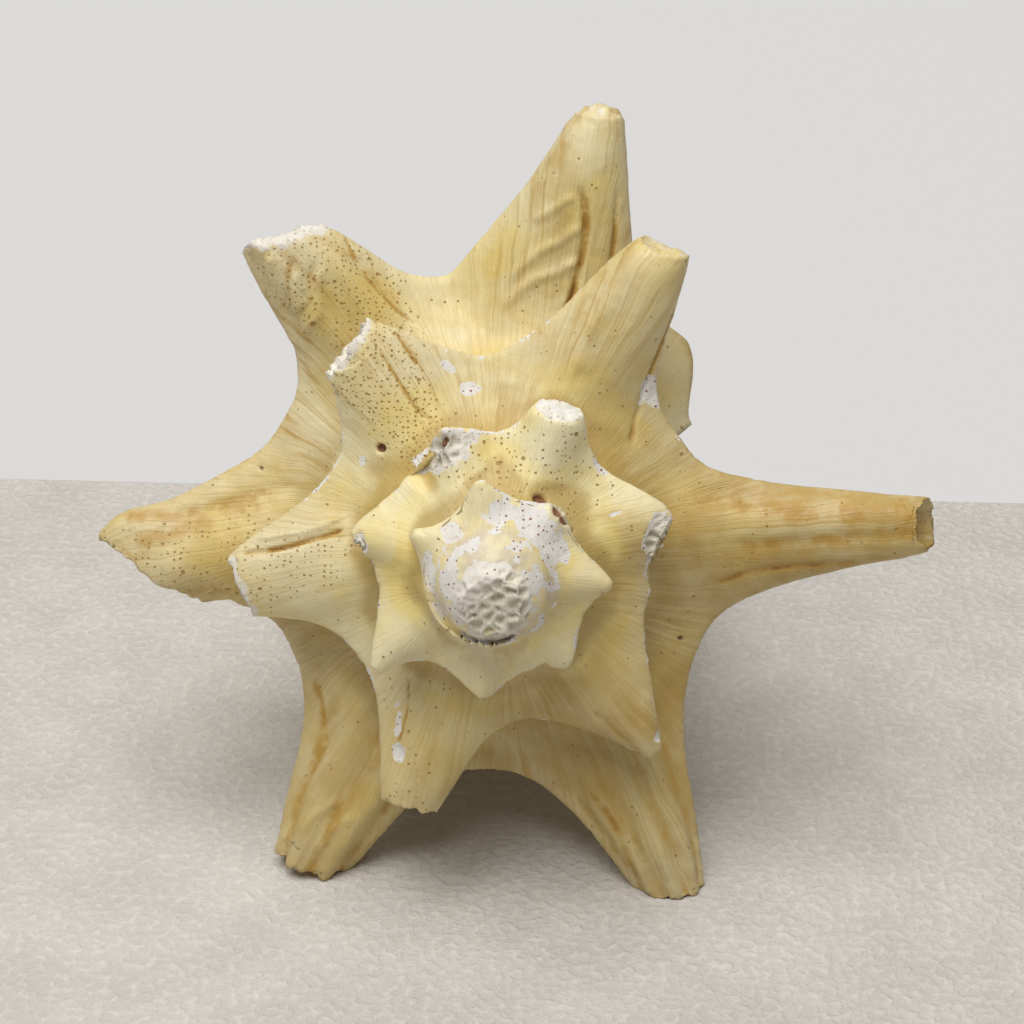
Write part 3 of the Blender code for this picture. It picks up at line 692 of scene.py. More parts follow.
def edgeLimit(middle, patch, facing):
    # Shorter edges on the sides that face the viewer, and round fine detail.
    values = shellMeshing
    shown = smooth((facing + 0.3) / 0.3)
    limit = values["hiddenEdge"] + (values["facingEdge"] - values["hiddenEdge"]) * shown
    limit = np.minimum(limit, closeWork.at(middle))
    return np.where(patch == 2, values["mouthEdge"], limit)


def vertexPlaces(count, faces, corners, patch):
    # The patch and its two coordinates at every vertex.
    place = np.zeros((count, 2))
    kind = np.zeros(count, int)
    rounds = [patch == k for k in (4, 3, 2, 1, 0)]
    rounds.append((patch == 0) & (corners[:, :, 1].max(1) < 1.2))
    for rows in rounds:
        place[faces[rows].ravel()] = corners[rows].reshape(-1, 2)
        kind[faces[rows].ravel()] = patch[rows].repeat(3)
    return kind, place


def faceNormals(points, faces):
    a, b, c = points[faces[:, 0]], points[faces[:, 1]], points[faces[:, 2]]
    return np.cross(b - a, c - a)


def vertexNormals(points, faces):
    cross = faceNormals(points, faces)
    total = np.zeros_like(points)
    for k in range(3):
        np.add.at(total, faces[:, k], cross)
    return total / np.maximum(np.linalg.norm(total, axis=1), 1e-12)[:, None]


def growthMap(patch, corners):
    # Centimetres along the spiral, and across it in shares of the whorl.
    grows = np.arange(growStart - turn, growEnd + 2.0)
    length = np.cumsum(shoulderRadius(grows)) * math.radians(1.0) * 0.1
    a, b = corners[..., 0], corners[..., 1]
    _, up = flatPosition(a, b)
    u = np.interp(a, grows, length)
    kind = patch[:, None]
    u = np.where(kind == 0, u, 0.3 * a)
    v = np.where(kind == 0, up, 0.3 * b)
    return np.stack([u, v], -1)


# Worn places: grow angle and s of the middle, half width and half height in millimetres as seen by
# the viewer, turn against the clock in degrees, dent depth, and the looks with their weight.
wornPlaces = {
    "fourteenth spine, worn off": (609.3, 0.517, 7.4, 3.4, 25.0, 0.3, {"chalk": 1.2, "comb": 0.7}),
    "fourteenth spine, cavity": (612.5, 0.62, 2.2, 0.7, 35.0, 0.6, {"hole": 0.7}),
    "twelfth spine, worn off": (704.0, 0.66, 6.0, 3.0, 80.0, 0.5, {"chalk": 1.0, "comb": 1.0}),
    "fifteenth spine, end": (557.0, 0.75, 3.4, 1.8, 90.0, 0.6, {"chalk": 0.8, "comb": 0.6}),
    "crust patch, left": (275.6, 0.513, 3.4, 2.6, 20.0, 0.0, {"chalk": 1.0}),
    "crust patch, middle": (305.5, 0.457, 4.6, 3.6, -40.0, 0.0, {"chalk": 1.0}),
    "crust patch, right": (329.5, 0.474, 4.4, 2.8, -60.0, 0.0, {"chalk": 1.0}),
    "crust patch, upper left": (230.4, 0.418, 2.4, 2.0, 0.0, 0.0, {"chalk": 0.9, "comb": 0.3}),
    "crust patch, lower left": (187.3, 0.606, 1.2, 4.4, 5.0, 0.0, {"chalk": 1.0}),
    "crust patch, below": (150.0, 0.75, 1.6, 2.6, 20.0, 0.0, {"chalk": 0.9}),
    "seventh spine, scar": (1031.8, 0.88, 2.3, 3.6, 5.0, 0.25, {"chalk": 0.9}),
    "small scar": (979.5, 0.644, 2.3, 1.4, 10.0, 0.0, {"chalk": 0.9}),
    "small scar above": (976.5, 0.80, 2.4, 0.8, -40.0, 0.0, {"chalk": 0.5}),
    "small scar left": (934.2, 0.717, 0.8, 1.1, 0.0, 0.0, {"chalk": 0.9}),
    "tenth spine, streak": (845.0, 0.70, 0.8, 4.6, -4.0, 0.2, {"chalk": 0.3}),
    "tenth spine, chip": (840.5, 0.689, 1.2, 1.9, 0.0, 0.5, {"chalk": 1.1}),
    "eleventh spine, chip": (762.0, 0.95, 0.9, 1.6, -30.0, 0.4, {"chalk": 1.0}),
    "suture chip": (675.3, 0.999, 2.4, 0.8, -50.0, 0.3, {"chalk": 0.9}),
    "pink scar": (689.3, 0.579, 1.7, 0.5, 20.0, 0.1, {"chalk": 0.6}),
    "big hole": (942.4, 0.482, 1.25, 1.05, 0.0, 1.3, {"hole": 1.0}),
    "right hole": (1105.3, 0.768, 0.8, 0.6, 0.0, 0.7, {"hole": 1.0}),
    "left hole": (1279.1, 0.815, 0.6, 0.5, 0.0, 0.4, {"hole": 1.0}),
    "cavity, first": (659.9, 0.159, 1.9, 1.1, -25.0, 1.1, {"hole": 0.9}),
    "cavity, second": (312.3, 0.93, 1.9, 1.8, -50.0, 1.2, {"hole": 0.9}),
    "cavity, third": (319.6, 0.987, 1.4, 1.6, -60.0, 1.0, {"hole": 0.9}),
    "cavity, fourth": (688.6, 0.085, 0.9, 0.6, 0.0, 0.5, {"hole": 0.8}),
}

# The crusted knob of the first whorls: its lump over the apex and its honeycomb of pits.
knobCrust = {
    "lumpX": 0.4,
    "lumpUp": -2.4,
    "lumpWide": 7.0,
    "lumpTall": 7.8,
    "lumpHeight": 3.4,
    "reach": 11.0,
    "pitCell": 2.5,
    "pitDepth": 1.0,
    "fineCell": 1.3,
    "fineDepth": 0.22,
}

# How each spine ends, in millimetres: hollow of the end, roughness of its rim, lumps, number and
# depth of the flutes along the spine, how chalky it is, how far it flares, how far the rim sinks
# and how far the end is cut back on the side of the viewer.
spineEnds = {
    6: (0.0, 0.2, 0.1, 0, 0.0, 0.0, 0.0, 0.0, 0.0),
    7: (1.0, 0.5, 0.4, 0, 0.0, 1.0, 0.0, 0.0, 0.0),
    9: (0.0, 0.6, 0.8, 0, 0.0, 0.8, 1.1, 0.3, 1.0),
    12: (1.2, 0.9, 0.6, 3, 0.25, 0.35, 0.8, 0.4, 0.5),
    13: (1.0, 1.0, 0.6, 3, 0.15, 1.0, 0.5, 0.2, 0.5),
    14: (1.0, 1.3, 0.4, 0, 0.0, 1.0, 0.4, 0.0, 0.0),
    15: (0.8, 0.3, 0.4, 2, 0.3, 0.35, 2.0, 0.9, 0.8),
    16: (2.2, 0.8, 0.2, 4, 0.35, 0.3, 0.6, 0.0, 3.5),
    17: (0.0, 0.4, 0.2, 9, 0.4, 0.1, 0.4, 0.4, 0.0),
    18: (0.8, 1.3, 0.8, 7, 0.5, 0.2, 1.0, 0.6, 0.0),
    19: (0.4, 0.9, 0.7, 5, 0.4, 0.4, 2.6, 0.8, 0.0),
    20: (0.0, 0.5, 0.6, 7, 0.3, 0.9, 2.4, 0.9, 0.0),
    21: (0.0, 0.6, 0.8, 2, 0.3, 0.35, 1.2, 1.6, 0.0),
}


def makeShellMesh():
    print("shell: shaping")
    for places, width, *_ in surfaceLines.values():
        closeWork.add(linePoints(places, 40), max(width * 1.3, 0.7), shellMeshing["lineEdge"])
    for grow, s, wide, tall, *_ in wornPlaces.values():
        middle = surfacePoint(np.array([0]), np.array([grow]), np.array([s]))
        closeWork.add(middle, 0.8 * max(wide, tall), shellMeshing["markEdge"])
    for first, last in shellMeshing["sutures"]:
        grows = np.linspace(first, last, 90)
        sutureRun = surfacePoint(np.zeros(90, int), grows, np.ones(90))
        closeWork.add(sutureRun, 1.0, shellMeshing["sutureEdge"])
    knob = surfacePoint(np.array([1]), np.array([0.0]), np.array([0.0]))
    closeWork.add(knob, knobCrust["reach"], shellMeshing["markEdge"])
    for number, spine in enumerate(spines):
        tip = toWorld(aroundAxis(np.array([float(spine[3])]), np.array([[spine[4], spine[5]]])))
        if number in spineEnds:
            closeWork.add(tip, spine[6], shellMeshing["tipEdge"])
    rampRows = (0.0, 0.35, 0.7, 1.0, 1.5)
    bodyRows = (2.0, 2.05, 2.12, 2.22, 2.34, 2.47, 2.6, 2.73, 2.85, 2.94)
    return shellMesh(15.0, rampRows, bodyRows, 7, 14, edgeLimit)


def waves(places, size, seed=0.0, octaves=3):
    # Soft noise from -1 to 1 at every place, with bumps of about the size given.
    shift = Vector((seed * 17.3, seed * 5.1, seed * 9.7))
    return np.array([noise.fractal(Vector(p) / size + shift, 1.0, 2.0, octaves) for p in places.tolist()])


points, faces, corners, patch = makeShellMesh()
kind, place = vertexPlaces(len(points), faces, corners, patch)
print("shell:", len(faces), "triangles")

# Each look has a value at every vertex, which the material reads.
looksByPoint = ("stainAndShade", "hole", "comb", "pores", "age", "end", "tan", "crease")
fields = {name: np.zeros(len(points)) for name in looksByPoint}
fields["chalk"] = np.full(len(points), -1.0)
outer = kind == 0


def knobMap():
    # Places on the plane across the shell's axis, in millimetres to the right and up.
    tilt = math.radians(shellForm["axisTilt"])
    x = points[:, 0] + shellForm["middleX"]
    y, z = points[:, 1] + shellForm["middleY"], points[:, 2] - shellForm["apexHeight"]
    return x, y * math.sin(tilt) + z * math.cos(tilt), y * math.cos(tilt) - z * math.sin(tilt)


def raiseKnob():
    # The lump over the first whorls, then the share of crust round it.
    values = knobCrust
    x, up, deep = knobMap()
    near = (deep < 16.0) & (np.hypot(x, up) < 16.0)
    off = np.hypot((x - values["lumpX"]) / values["lumpWide"], (up - values["lumpUp"]) / values["lumpTall"])
    lump = smooth(1.25 - off) ** 1.3
    tilt = math.radians(shellForm["axisTilt"])
    forward = np.array([0.0, -math.cos(tilt), math.sin(tilt)])
    dome = np.where(near & (kind < 2), smooth((13.0 - deep) / 2.0), 0.0)
    points[:] += np.outer(values["lumpHeight"] * lump * dome, forward)
    ring = np.hypot(x - 0.6, up + 0.3) + 1.6 * waves(points, 6.0, 2.0, 2)
    crust = (values["reach"] - ring) / 3.0
    within = near & (deep < 12.5)
    comb = smooth((1.12 - off) / 0.25) * (0.45 + 0.55 * smooth(((x - up) / 7.0 + 0.3) / 0.6))
    fields["comb"] = np.where(within, np.maximum(fields["comb"], comb), fields["comb"])
    patchy = 0.1 + 1.1 * waves(points, 4.5, 9.0, 3) + 0.9 * smooth((1.1 - off) / 0.25)
    fields["age"] = np.where(within, np.maximum(fields["age"], smooth((crust + 0.5) / 0.8)), 0.0)
    fields["chalk"] = np.where(within, np.minimum(crust, patchy), fields["chalk"])


def drawLines():
    # Grooves and ridges, with dirt in the grooves and painted shadow along the third spine's fold.
    for places, width, height, stainAndShade in surfaceLines.values():
        run = linePoints(places, 30)
        near = np.where(((points > run.min(0) - 4.0) & (points < run.max(0) + 4.0)).all(1) & outer)[0]
        away, share = lineDistance(points[near], run)
        taper = smooth(np.minimum(share, 1.0 - share) / 0.15)
        points[near] += normals[near] * (height * np.exp(-((away / width) ** 2)) * taper)[:, None]
        mark = stainAndShade * np.exp(-((away / (1.1 * width)) ** 2)) * taper
        fields["stainAndShade"][near] = np.maximum(fields["stainAndShade"][near], mark)


def wearPlaces():
    # Dents and looks of the worn places, on the side that faces the viewer.
    facing = np.array(viewDirection())
    right = np.cross((0.0, 0.0, 1.0), facing)
    right /= np.linalg.norm(right)
    up = np.cross(facing, right)
    shown = normals @ facing > 0.0
    for grow, s, wide, tall, angle, depth, looks in wornPlaces.values():
        middle = surfacePoint(np.array([0]), np.array([grow]), np.array([s]))[0]
        c, k = math.cos(math.radians(angle)), math.sin(math.radians(angle))
        offset = points - middle
        near = np.where((np.linalg.norm(offset, axis=1) < 2.0 * max(wide, tall)) & outer & shown)[0]
        a, b = offset[near] @ (c * right + k * up), offset[near] @ (c * up - k * right)
        h = offset[near] @ facing
        away = np.sqrt((a / wide) ** 2 + (b / tall) ** 2 + (h / (2.0 * max(wide, tall))) ** 2)
        points[near] -= normals[near] * (depth * smooth((1.0 - away) / 0.55))[:, None]
        for look, weight in looks.items():
            old = fields[look][near]
            if look == "chalk":
                fields[look][near] = np.maximum(old, np.clip((1.0 - away) * weight * 1.6, -1.0, 1.0))
            else:
                fields[look][near] = np.maximum(old, weight * smooth((1.0 - away) / 0.5))


def markSutures():
    # Dirt where a whorl meets the one before it, and chalky crumbs along the shoulders.
    grows = np.arange(growStart, 1047.0, 0.5)
    run = surfacePoint(np.zeros(len(grows), int), grows, np.ones(len(grows)))
    tree = kdtree.KDTree(len(run))
    for k, spot in enumerate(run.tolist()):
        tree.insert(spot, k)
    tree.balance()
    found = [tree.find(spot) for spot in points.tolist()]
    away = np.array([f[2] for f in found])
    older = grows[np.array([f[1] for f in found])]
    younger = outer & (place[:, 0] > older + 150.0)
    rough = waves(points, 3.0, 3.0, 2)
    patchy = smooth(0.25 + 1.8 * waves(points, 9.0, 5.0, 2))
    dirt = np.exp(-((away / (0.85 + 0.4 * rough)) ** 2)) * younger
    fields["stainAndShade"] = np.maximum(fields["stainAndShade"], 0.95 * dirt * (0.35 + 0.65 * patchy))
    points[:] -= normals * (0.3 * dirt)[:, None]
    crumbs = outer & ~younger & (away < 1.4)
    ragged = waves(points, 1.5, 8.0, 2)
    chalky = 0.45 * patchy - 0.15 - away / 1.3 + 0.7 * ragged
    fields["chalk"] = np.where(crumbs, np.maximum(fields["chalk"], chalky), fields["chalk"])
    points[:] += normals * np.where(crumbs, 0.22 * ragged * patchy * smooth(1.0 - away / 1.4), 0.0)[:, None]


# Small corrections of the form: the middle of each in millimetres, its reach and its push.
formPushes = {
    "second spine, left corner": ((-50.0, -43.0, 113.5), 6.0, (-1.0, 0.0, 3.6)),
    "third spine, upper side": ((-77.0, -60.0, 62.5), 8.0, (0.0, 0.0, 3.4)),
    "seventh spine, right corner": ((31.5, -52.0, 117.5), 5.5, (0.6, 0.0, 3.6)),
}


def pushForm():
    for middle, reach, push in formPushes.values():
        away = np.linalg.norm(points - np.array(middle), axis=1) / reach
        points[:] += np.outer(np.exp(-(away**2)), push)


def finishSpines():
    # Hollows, rough rims and flutes of the spines, in the direction of each spine.
    grow, s = place[:, 0], place[:, 1]
    for number, (hollow, rough, lumps, flutes, fluteDepth, white, flare, sink, bevel) in spineEnds.items():
        spine = spines[number]
        near = np.where(outer & (grow > spine[0] - spine[1]) & (grow < spine[0] + spine[2]))[0]
        q, turnAround = spineField(spine, grow[near], s[near])
        left = tipShare(spine)
        rise = np.clip((1.0 - q) / (1.0 - left), 0.0, 1.0)
        root = toWorld(aroundAxis(np.array([float(spine[0])]), shoulderPoint(np.array([float(spine[0])]))))[0]
        tip = toWorld(aroundAxis(np.array([float(spine[3])]), np.array([[spine[4], spine[5]]])))[0]
        ahead = (tip - root) / np.linalg.norm(tip - root)
        cap = np.clip(q / left, 0.0, 2.0)
        inside = smooth((1.0 - cap) / 0.45)
        rim = smooth(1.0 - np.abs(cap - 1.0) / 0.55)
        jag = waves(points[near], 2.2, number + 1.0, 2)
        lump = waves(points[near], 1.6, number + 40.0, 2)
        push = (rough * jag - sink) * rim - hollow * inside + lumps * lump * smooth((1.2 - cap) / 0.4)
        offset = points[near] - tip
        radial = offset - np.outer(offset @ ahead, ahead)
        radial /= np.maximum(np.linalg.norm(radial, axis=1), 0.5)[:, None]
        outward = flare * smooth((rise - 0.45) / 0.5) * smooth(cap / 0.6)
        shownSide = np.clip(offset @ np.array(viewDirection()) / spine[6] + 0.5, 0.0, 1.6)
        push -= bevel * shownSide * smooth((1.25 - cap) / 0.35)
        points[near] += np.outer(push, ahead) + radial * outward[:, None]
        if flutes:
            wave = np.cos(flutes * turnAround + 2.2 * rise + 0.9 * waves(points[near], 14.0, number, 1))
            window = smooth((rise - 0.35) / 0.35) * smooth((1.08 - rise) / 0.08 + 0.25)
            points[near] += normals[near] * (fluteDepth * wave * window)[:, None]
            groove = np.clip(-wave, 0.0, 1.0) * window
            dirt = 0.45 * min(fluteDepth / 0.5, 1.0) * groove
            fields["stainAndShade"][near] = np.maximum(fields["stainAndShade"][near], dirt)
        combed = 0.6 * white * smooth((1.1 - cap) / 0.3)
        fields["comb"][near] = np.maximum(fields["comb"][near], combed)
        fields["end"][near] = np.maximum(fields["end"][near], white * smooth((1.25 - cap) / 0.35))


# Bands of pores and of golden colour: grow angle of the middle, reach, s from and to, and weight.
lookBands = {
    "pores": (
        (958.0, 17.0, 0.2, 1.0, 1.0),
        (1318.0, 14.0, 0.35, 1.1, 0.6),
        (900.0, 14.0, 0.45, 1.0, 0.4),
        (640.0, 55.0, 0.1, 0.9, 0.4),
        (1262.0, 12.0, 0.5, 1.0, 0.3),
        (833.0, 9.0, 0.7, 1.0, 0.35),
    ),
    "tan": (
        (1000.0, 60.0, 0.55, 3.0, 0.35),
        (1090.0, 70.0, 0.3, 3.0, 0.95),
        (1140.0, 50.0, 0.0, 3.0, 0.85),
        (1215.0, 60.0, 0.0, 3.0, 0.75),
        (1265.0, 35.0, 0.3, 3.0, 0.6),
        (1312.0, 22.0, 0.3, 1.6, 0.4),
        (780.0, 40.0, 0.45, 2.0, 0.95),
        (840.0, 30.0, 0.35, 1.4, 0.45),
        (910.0, 25.0, 0.5, 1.4, 0.35),
        (1385.0, 30.0, 1.0, 3.0, 0.7),
        (735.0, 55.0, 0.5, 2.0, 0.6),
        (1357.0, 8.0, 0.45, 0.95, 0.35),
        (1345.0, 12.0, 0.1, 0.5, 0.3),
        (730.0, 40.0, 1.0, 2.0, 0.5),
        (1030.0, 22.0, 0.2, 0.9, 0.45),
    ),
}


def spreadLooks():
    # The bands, and where the older whorls are greyer.
    grow, s = place[:, 0], place[:, 1]
    deep = knobMap()[2]
    for name, bands in lookBands.items():
        for middle, reach, low, high, weight in bands:
            band = smooth((reach - np.abs(grow - middle)) / (0.5 * reach))
            band *= smooth((s - low + 0.15) / 0.15) * smooth((high + 0.15 - s) / 0.15)
            fields[name] = np.maximum(fields[name], np.where(outer, weight * band, 0.0))
    fields["tan"] = np.where(outer, np.maximum(fields["tan"], 0.22 * smooth((grow - 700.0) / 350.0)), 0.0)
    fields["pores"] = np.where(outer, np.maximum(fields["pores"], 0.03), 0.0)
    inner = 0.4 * np.where(outer, smooth((545.0 - grow) / 60.0), 1.0) * (deep < 40.0)
    fields["age"] = np.maximum(fields["age"], np.where(kind == 2, 0.0, inner))


def blurCells(cells, reach):
    # The cells spread over their neighbours along all three axes.
    steps = np.arange(-2 * reach, 2 * reach + 1)
    weights = np.exp(-0.5 * (steps / reach) ** 2)
    for axis in range(3):
        cells = sum(w * np.roll(cells, k, axis) for k, w in zip(steps, weights))
    return cells


def creaseField(reach=3, cell=1.25):
    # How hollow the surface is round each vertex: above zero in creases, below zero on ridges.
    low = points.min(0) - 12.0
    size = np.ceil((points.max(0) + 12.0 - low) / cell).astype(int)
    a, b, c = (points[faces[:, k]] for k in range(3))
    area = 0.5 * np.linalg.norm(np.cross(b - a, c - a), axis=1)
    middle = (a + b + c) / 3.0
    spot = ((middle - low) / cell).astype(int)
    flat = np.ravel_multi_index(tuple(spot.T), size)
    sums = []
    for values in (area, *(area * middle[:, k] for k in range(3))):
        sums.append(blurCells(np.bincount(flat, values, size.prod()).reshape(size), reach))
    place3 = (points - low) / cell - 0.5
    base = np.floor(place3).astype(int)
    part = place3 - base
    found = np.zeros((4, len(points)))
    for corner in np.ndindex(2, 2, 2):
        share = np.prod(np.where(corner, part, 1.0 - part), axis=1)
        at = tuple((base + corner).T)
        for k in range(4):
            found[k] += share * sums[k][at]
    centre = (found[1:] / found[0]).T
    return np.clip(((centre - points) * normals).sum(1), -1.0, 1.0)


normals = vertexNormals(points, faces)
# The material lays gold as painted shade where this is above zero, in the creases.
fields["crease"] = creaseField()
for finish in (raiseKnob, drawLines, markSutures, wearPlaces, finishSpines, pushForm, spreadLooks):
    finish()
points = np.clip(points, np.array(cadLow) * 1000.0, np.array(cadHigh) * 1000.0)

mesh = bpy.data.meshes.new("queenConch")
mesh.from_pydata((points * 0.001).tolist(), [], faces.tolist())
mesh.polygons.foreach_set("use_smooth", [True] * len(mesh.polygons))
growthUv = mesh.uv_layers.new(name="growth")
growthUv.data.foreach_set("uv", growthMap(patch, corners).ravel())
for name, values in fields.items():
    mesh.attributes.new(name, "FLOAT", "POINT").data.foreach_set("value", values.astype(np.float32))
shell = bpy.data.objects.new("queenConch", mesh)
bpy.context.scene.collection.objects.link(shell)


def addNode(tree, kind, settings=None, inputs=None):
    # A node with its settings; an input is a value or another node's output.
    made = tree.nodes.new(kind)
    for name, value in (settings or {}).items():
        setattr(made, name, value)
    for name, value in (inputs or {}).items():
        if isinstance(value, bpy.types.NodeSocket):
            tree.links.new(value, made.inputs[name])
        else:
            made.inputs[name].default_value = value
    return made


def combine(tree, operation, a, b):
    return addNode(tree, "ShaderNodeMath", {"operation": operation}, {0: a, 1: b}).outputs[0]


def product(tree, first, *others):
    for other in others:
        first = combine(tree, "MULTIPLY", first, other)
    return first


def total(tree, first, *others):
    for other in others:
        first = combine(tree, "ADD", first, other)
    return first


def vectorMath(tree, operation, inputs, output="Vector"):
    return addNode(tree, "ShaderNodeVectorMath", {"operation": operation}, inputs).outputs[output]


def remap(tree, value, low, high, first=0.0, last=1.0):
    node = addNode(tree, "ShaderNodeMapRange", {"interpolation_type": "SMOOTHSTEP"}, {
        "Value": value, "From Min": low, "From Max": high, "To Min": first, "To Max": last})
    return node.outputs["Result"]


def blendColor(tree, share, first, second):
    node = addNode(tree, "ShaderNodeMix", {"data_type": "RGBA"}, {0: share, 6: first, 7: second})
    return node.outputs[2]


def softNoise(tree, spot, scale, detail, output="Fac", **inputs):
    inputs = {"Vector": spot, "Scale": scale, "Detail": detail, **inputs}
    return addNode(tree, "ShaderNodeTexNoise", {}, inputs).outputs[output]


def fieldValue(tree, name):
    return addNode(tree, "ShaderNodeAttribute", {"attribute_name": name}).outputs["Fac"]


def objectSpot(tree):
    return addNode(tree, "ShaderNodeTexCoord").outputs["Object"]


def maskGroup(name, values):
    # An empty group with its values as inputs and one mask as its output.
    group = bpy.data.node_groups.new(name, "ShaderNodeTree")
    for label, start in values.items():
        group.interface.new_socket(label, in_out="INPUT", socket_type="NodeSocketFloat").default_value = start
    group.interface.new_socket("Mask", in_out="OUTPUT", socket_type="NodeSocketFloat")
    enter, leave = group.nodes.new("NodeGroupInput"), group.nodes.new("NodeGroupOutput")
    return group, enter.outputs, leave.inputs["Mask"]


def poreDots():
    # Round dots of equal size on the surface: cell centres are dropped onto it along the normal.
    values = {"Spacing": 0.0026, "Radius": 0.0003, "Density": 1.0, "Seed": 0.0}
    group, entered, mask = maskGroup("poreDots", values)
    spot = vectorMath(group, "ADD", {0: objectSpot(group), 1: entered["Seed"]})
    scale = combine(group, "DIVIDE", 1.0, entered["Spacing"])
    cells = addNode(group, "ShaderNodeTexVoronoi", {"voronoi_dimensions": "3D"}, {
        "Vector": spot, "Scale": scale, "Randomness": 0.55})
    offset = vectorMath(group, "SUBTRACT", {0: spot, 1: cells.outputs["Position"]})
    normal = addNode(group, "ShaderNodeNewGeometry").outputs["Normal"]
    depth = vectorMath(group, "DOT_PRODUCT", {0: offset, 1: normal}, "Value")
    lift = vectorMath(group, "SCALE", {0: normal, "Scale": depth})
    flat = vectorMath(group, "SUBTRACT", {0: offset, 1: lift})
    length = vectorMath(group, "LENGTH", {0: flat}, "Value")
    chance = addNode(group, "ShaderNodeSeparateColor", {}, {0: cells.outputs["Color"]}).outputs
    size = remap(group, chance["Green"], 0.0, 1.0, 0.55, 1.15)
    share = combine(group, "DIVIDE", length, product(group, entered["Radius"], size))
    kept = combine(group, "LESS_THAN", chance["Red"], entered["Density"])
    group.links.new(product(group, remap(group, share, 1.25, 0.75), kept), mask)
    return group


def growthStreaks():
    # Streaks across the whorl, along its growth lines.
    values = {"Fineness": 8.0, "Length": 1.0, "Low": 0.45, "High": 0.7, "Seed": 0.0}
    group, entered, mask = maskGroup("growthStreaks", values)
    flat = addNode(group, "ShaderNodeUVMap", {"uv_map": "growth"}).outputs["UV"]
    pair = addNode(group, "ShaderNodeSeparateXYZ", {}, {0: flat}).outputs
    bend = softNoise(group, objectSpot(group), 75.0, 2.0)
    bent = total(group, pair["X"], product(group, bend, 0.28))
    u = product(group, bent, entered["Fineness"])
    v = product(group, pair["Y"], entered["Length"])
    spot = addNode(group, "ShaderNodeCombineXYZ", {}, {"X": u, "Y": v, "Z": entered["Seed"]}).outputs[0]
    grain = softNoise(group, spot, 1.0, 3.0, Roughness=0.6, Distortion=0.9)
    group.links.new(remap(group, grain, entered["Low"], entered["High"]), mask)
    return group


# Colours of the shell, from its clean surface to its dirt and its holes; gold is also the painted shade in
# the creases.
shellLooks = {
    "cream": (0.87, 0.78, 0.47, 1.0),
    "butter": (0.82, 0.66, 0.24, 1.0),
    "gold": (0.45, 0.30, 0.078, 1.0),
    "worn": (0.88, 0.83, 0.64, 1.0),
    "ochre": (0.50, 0.31, 0.07, 1.0),
    "brown": (0.27, 0.13, 0.03, 1.0),
    "pore": (0.42, 0.24, 0.06, 1.0),
    "chalk": (0.80, 0.78, 0.75, 1.0),
    "grey": (0.62, 0.54, 0.42, 1.0),
    "cavity": (0.30, 0.14, 0.07, 1.0),
}

# Growth streaks: fineness along the spiral, length across it, noise values from and to, seed.
streakKinds = {
    "wide": (6.5, 3.0, 0.48, 0.7, 1.0),
    "fine": (26.0, 6.0, 0.45, 0.75, 4.0),
    "hair": (70.0, 5.0, 0.5, 0.7, 7.0),
    "pale": (5.0, 0.9, 0.42, 0.7, 21.0),
}


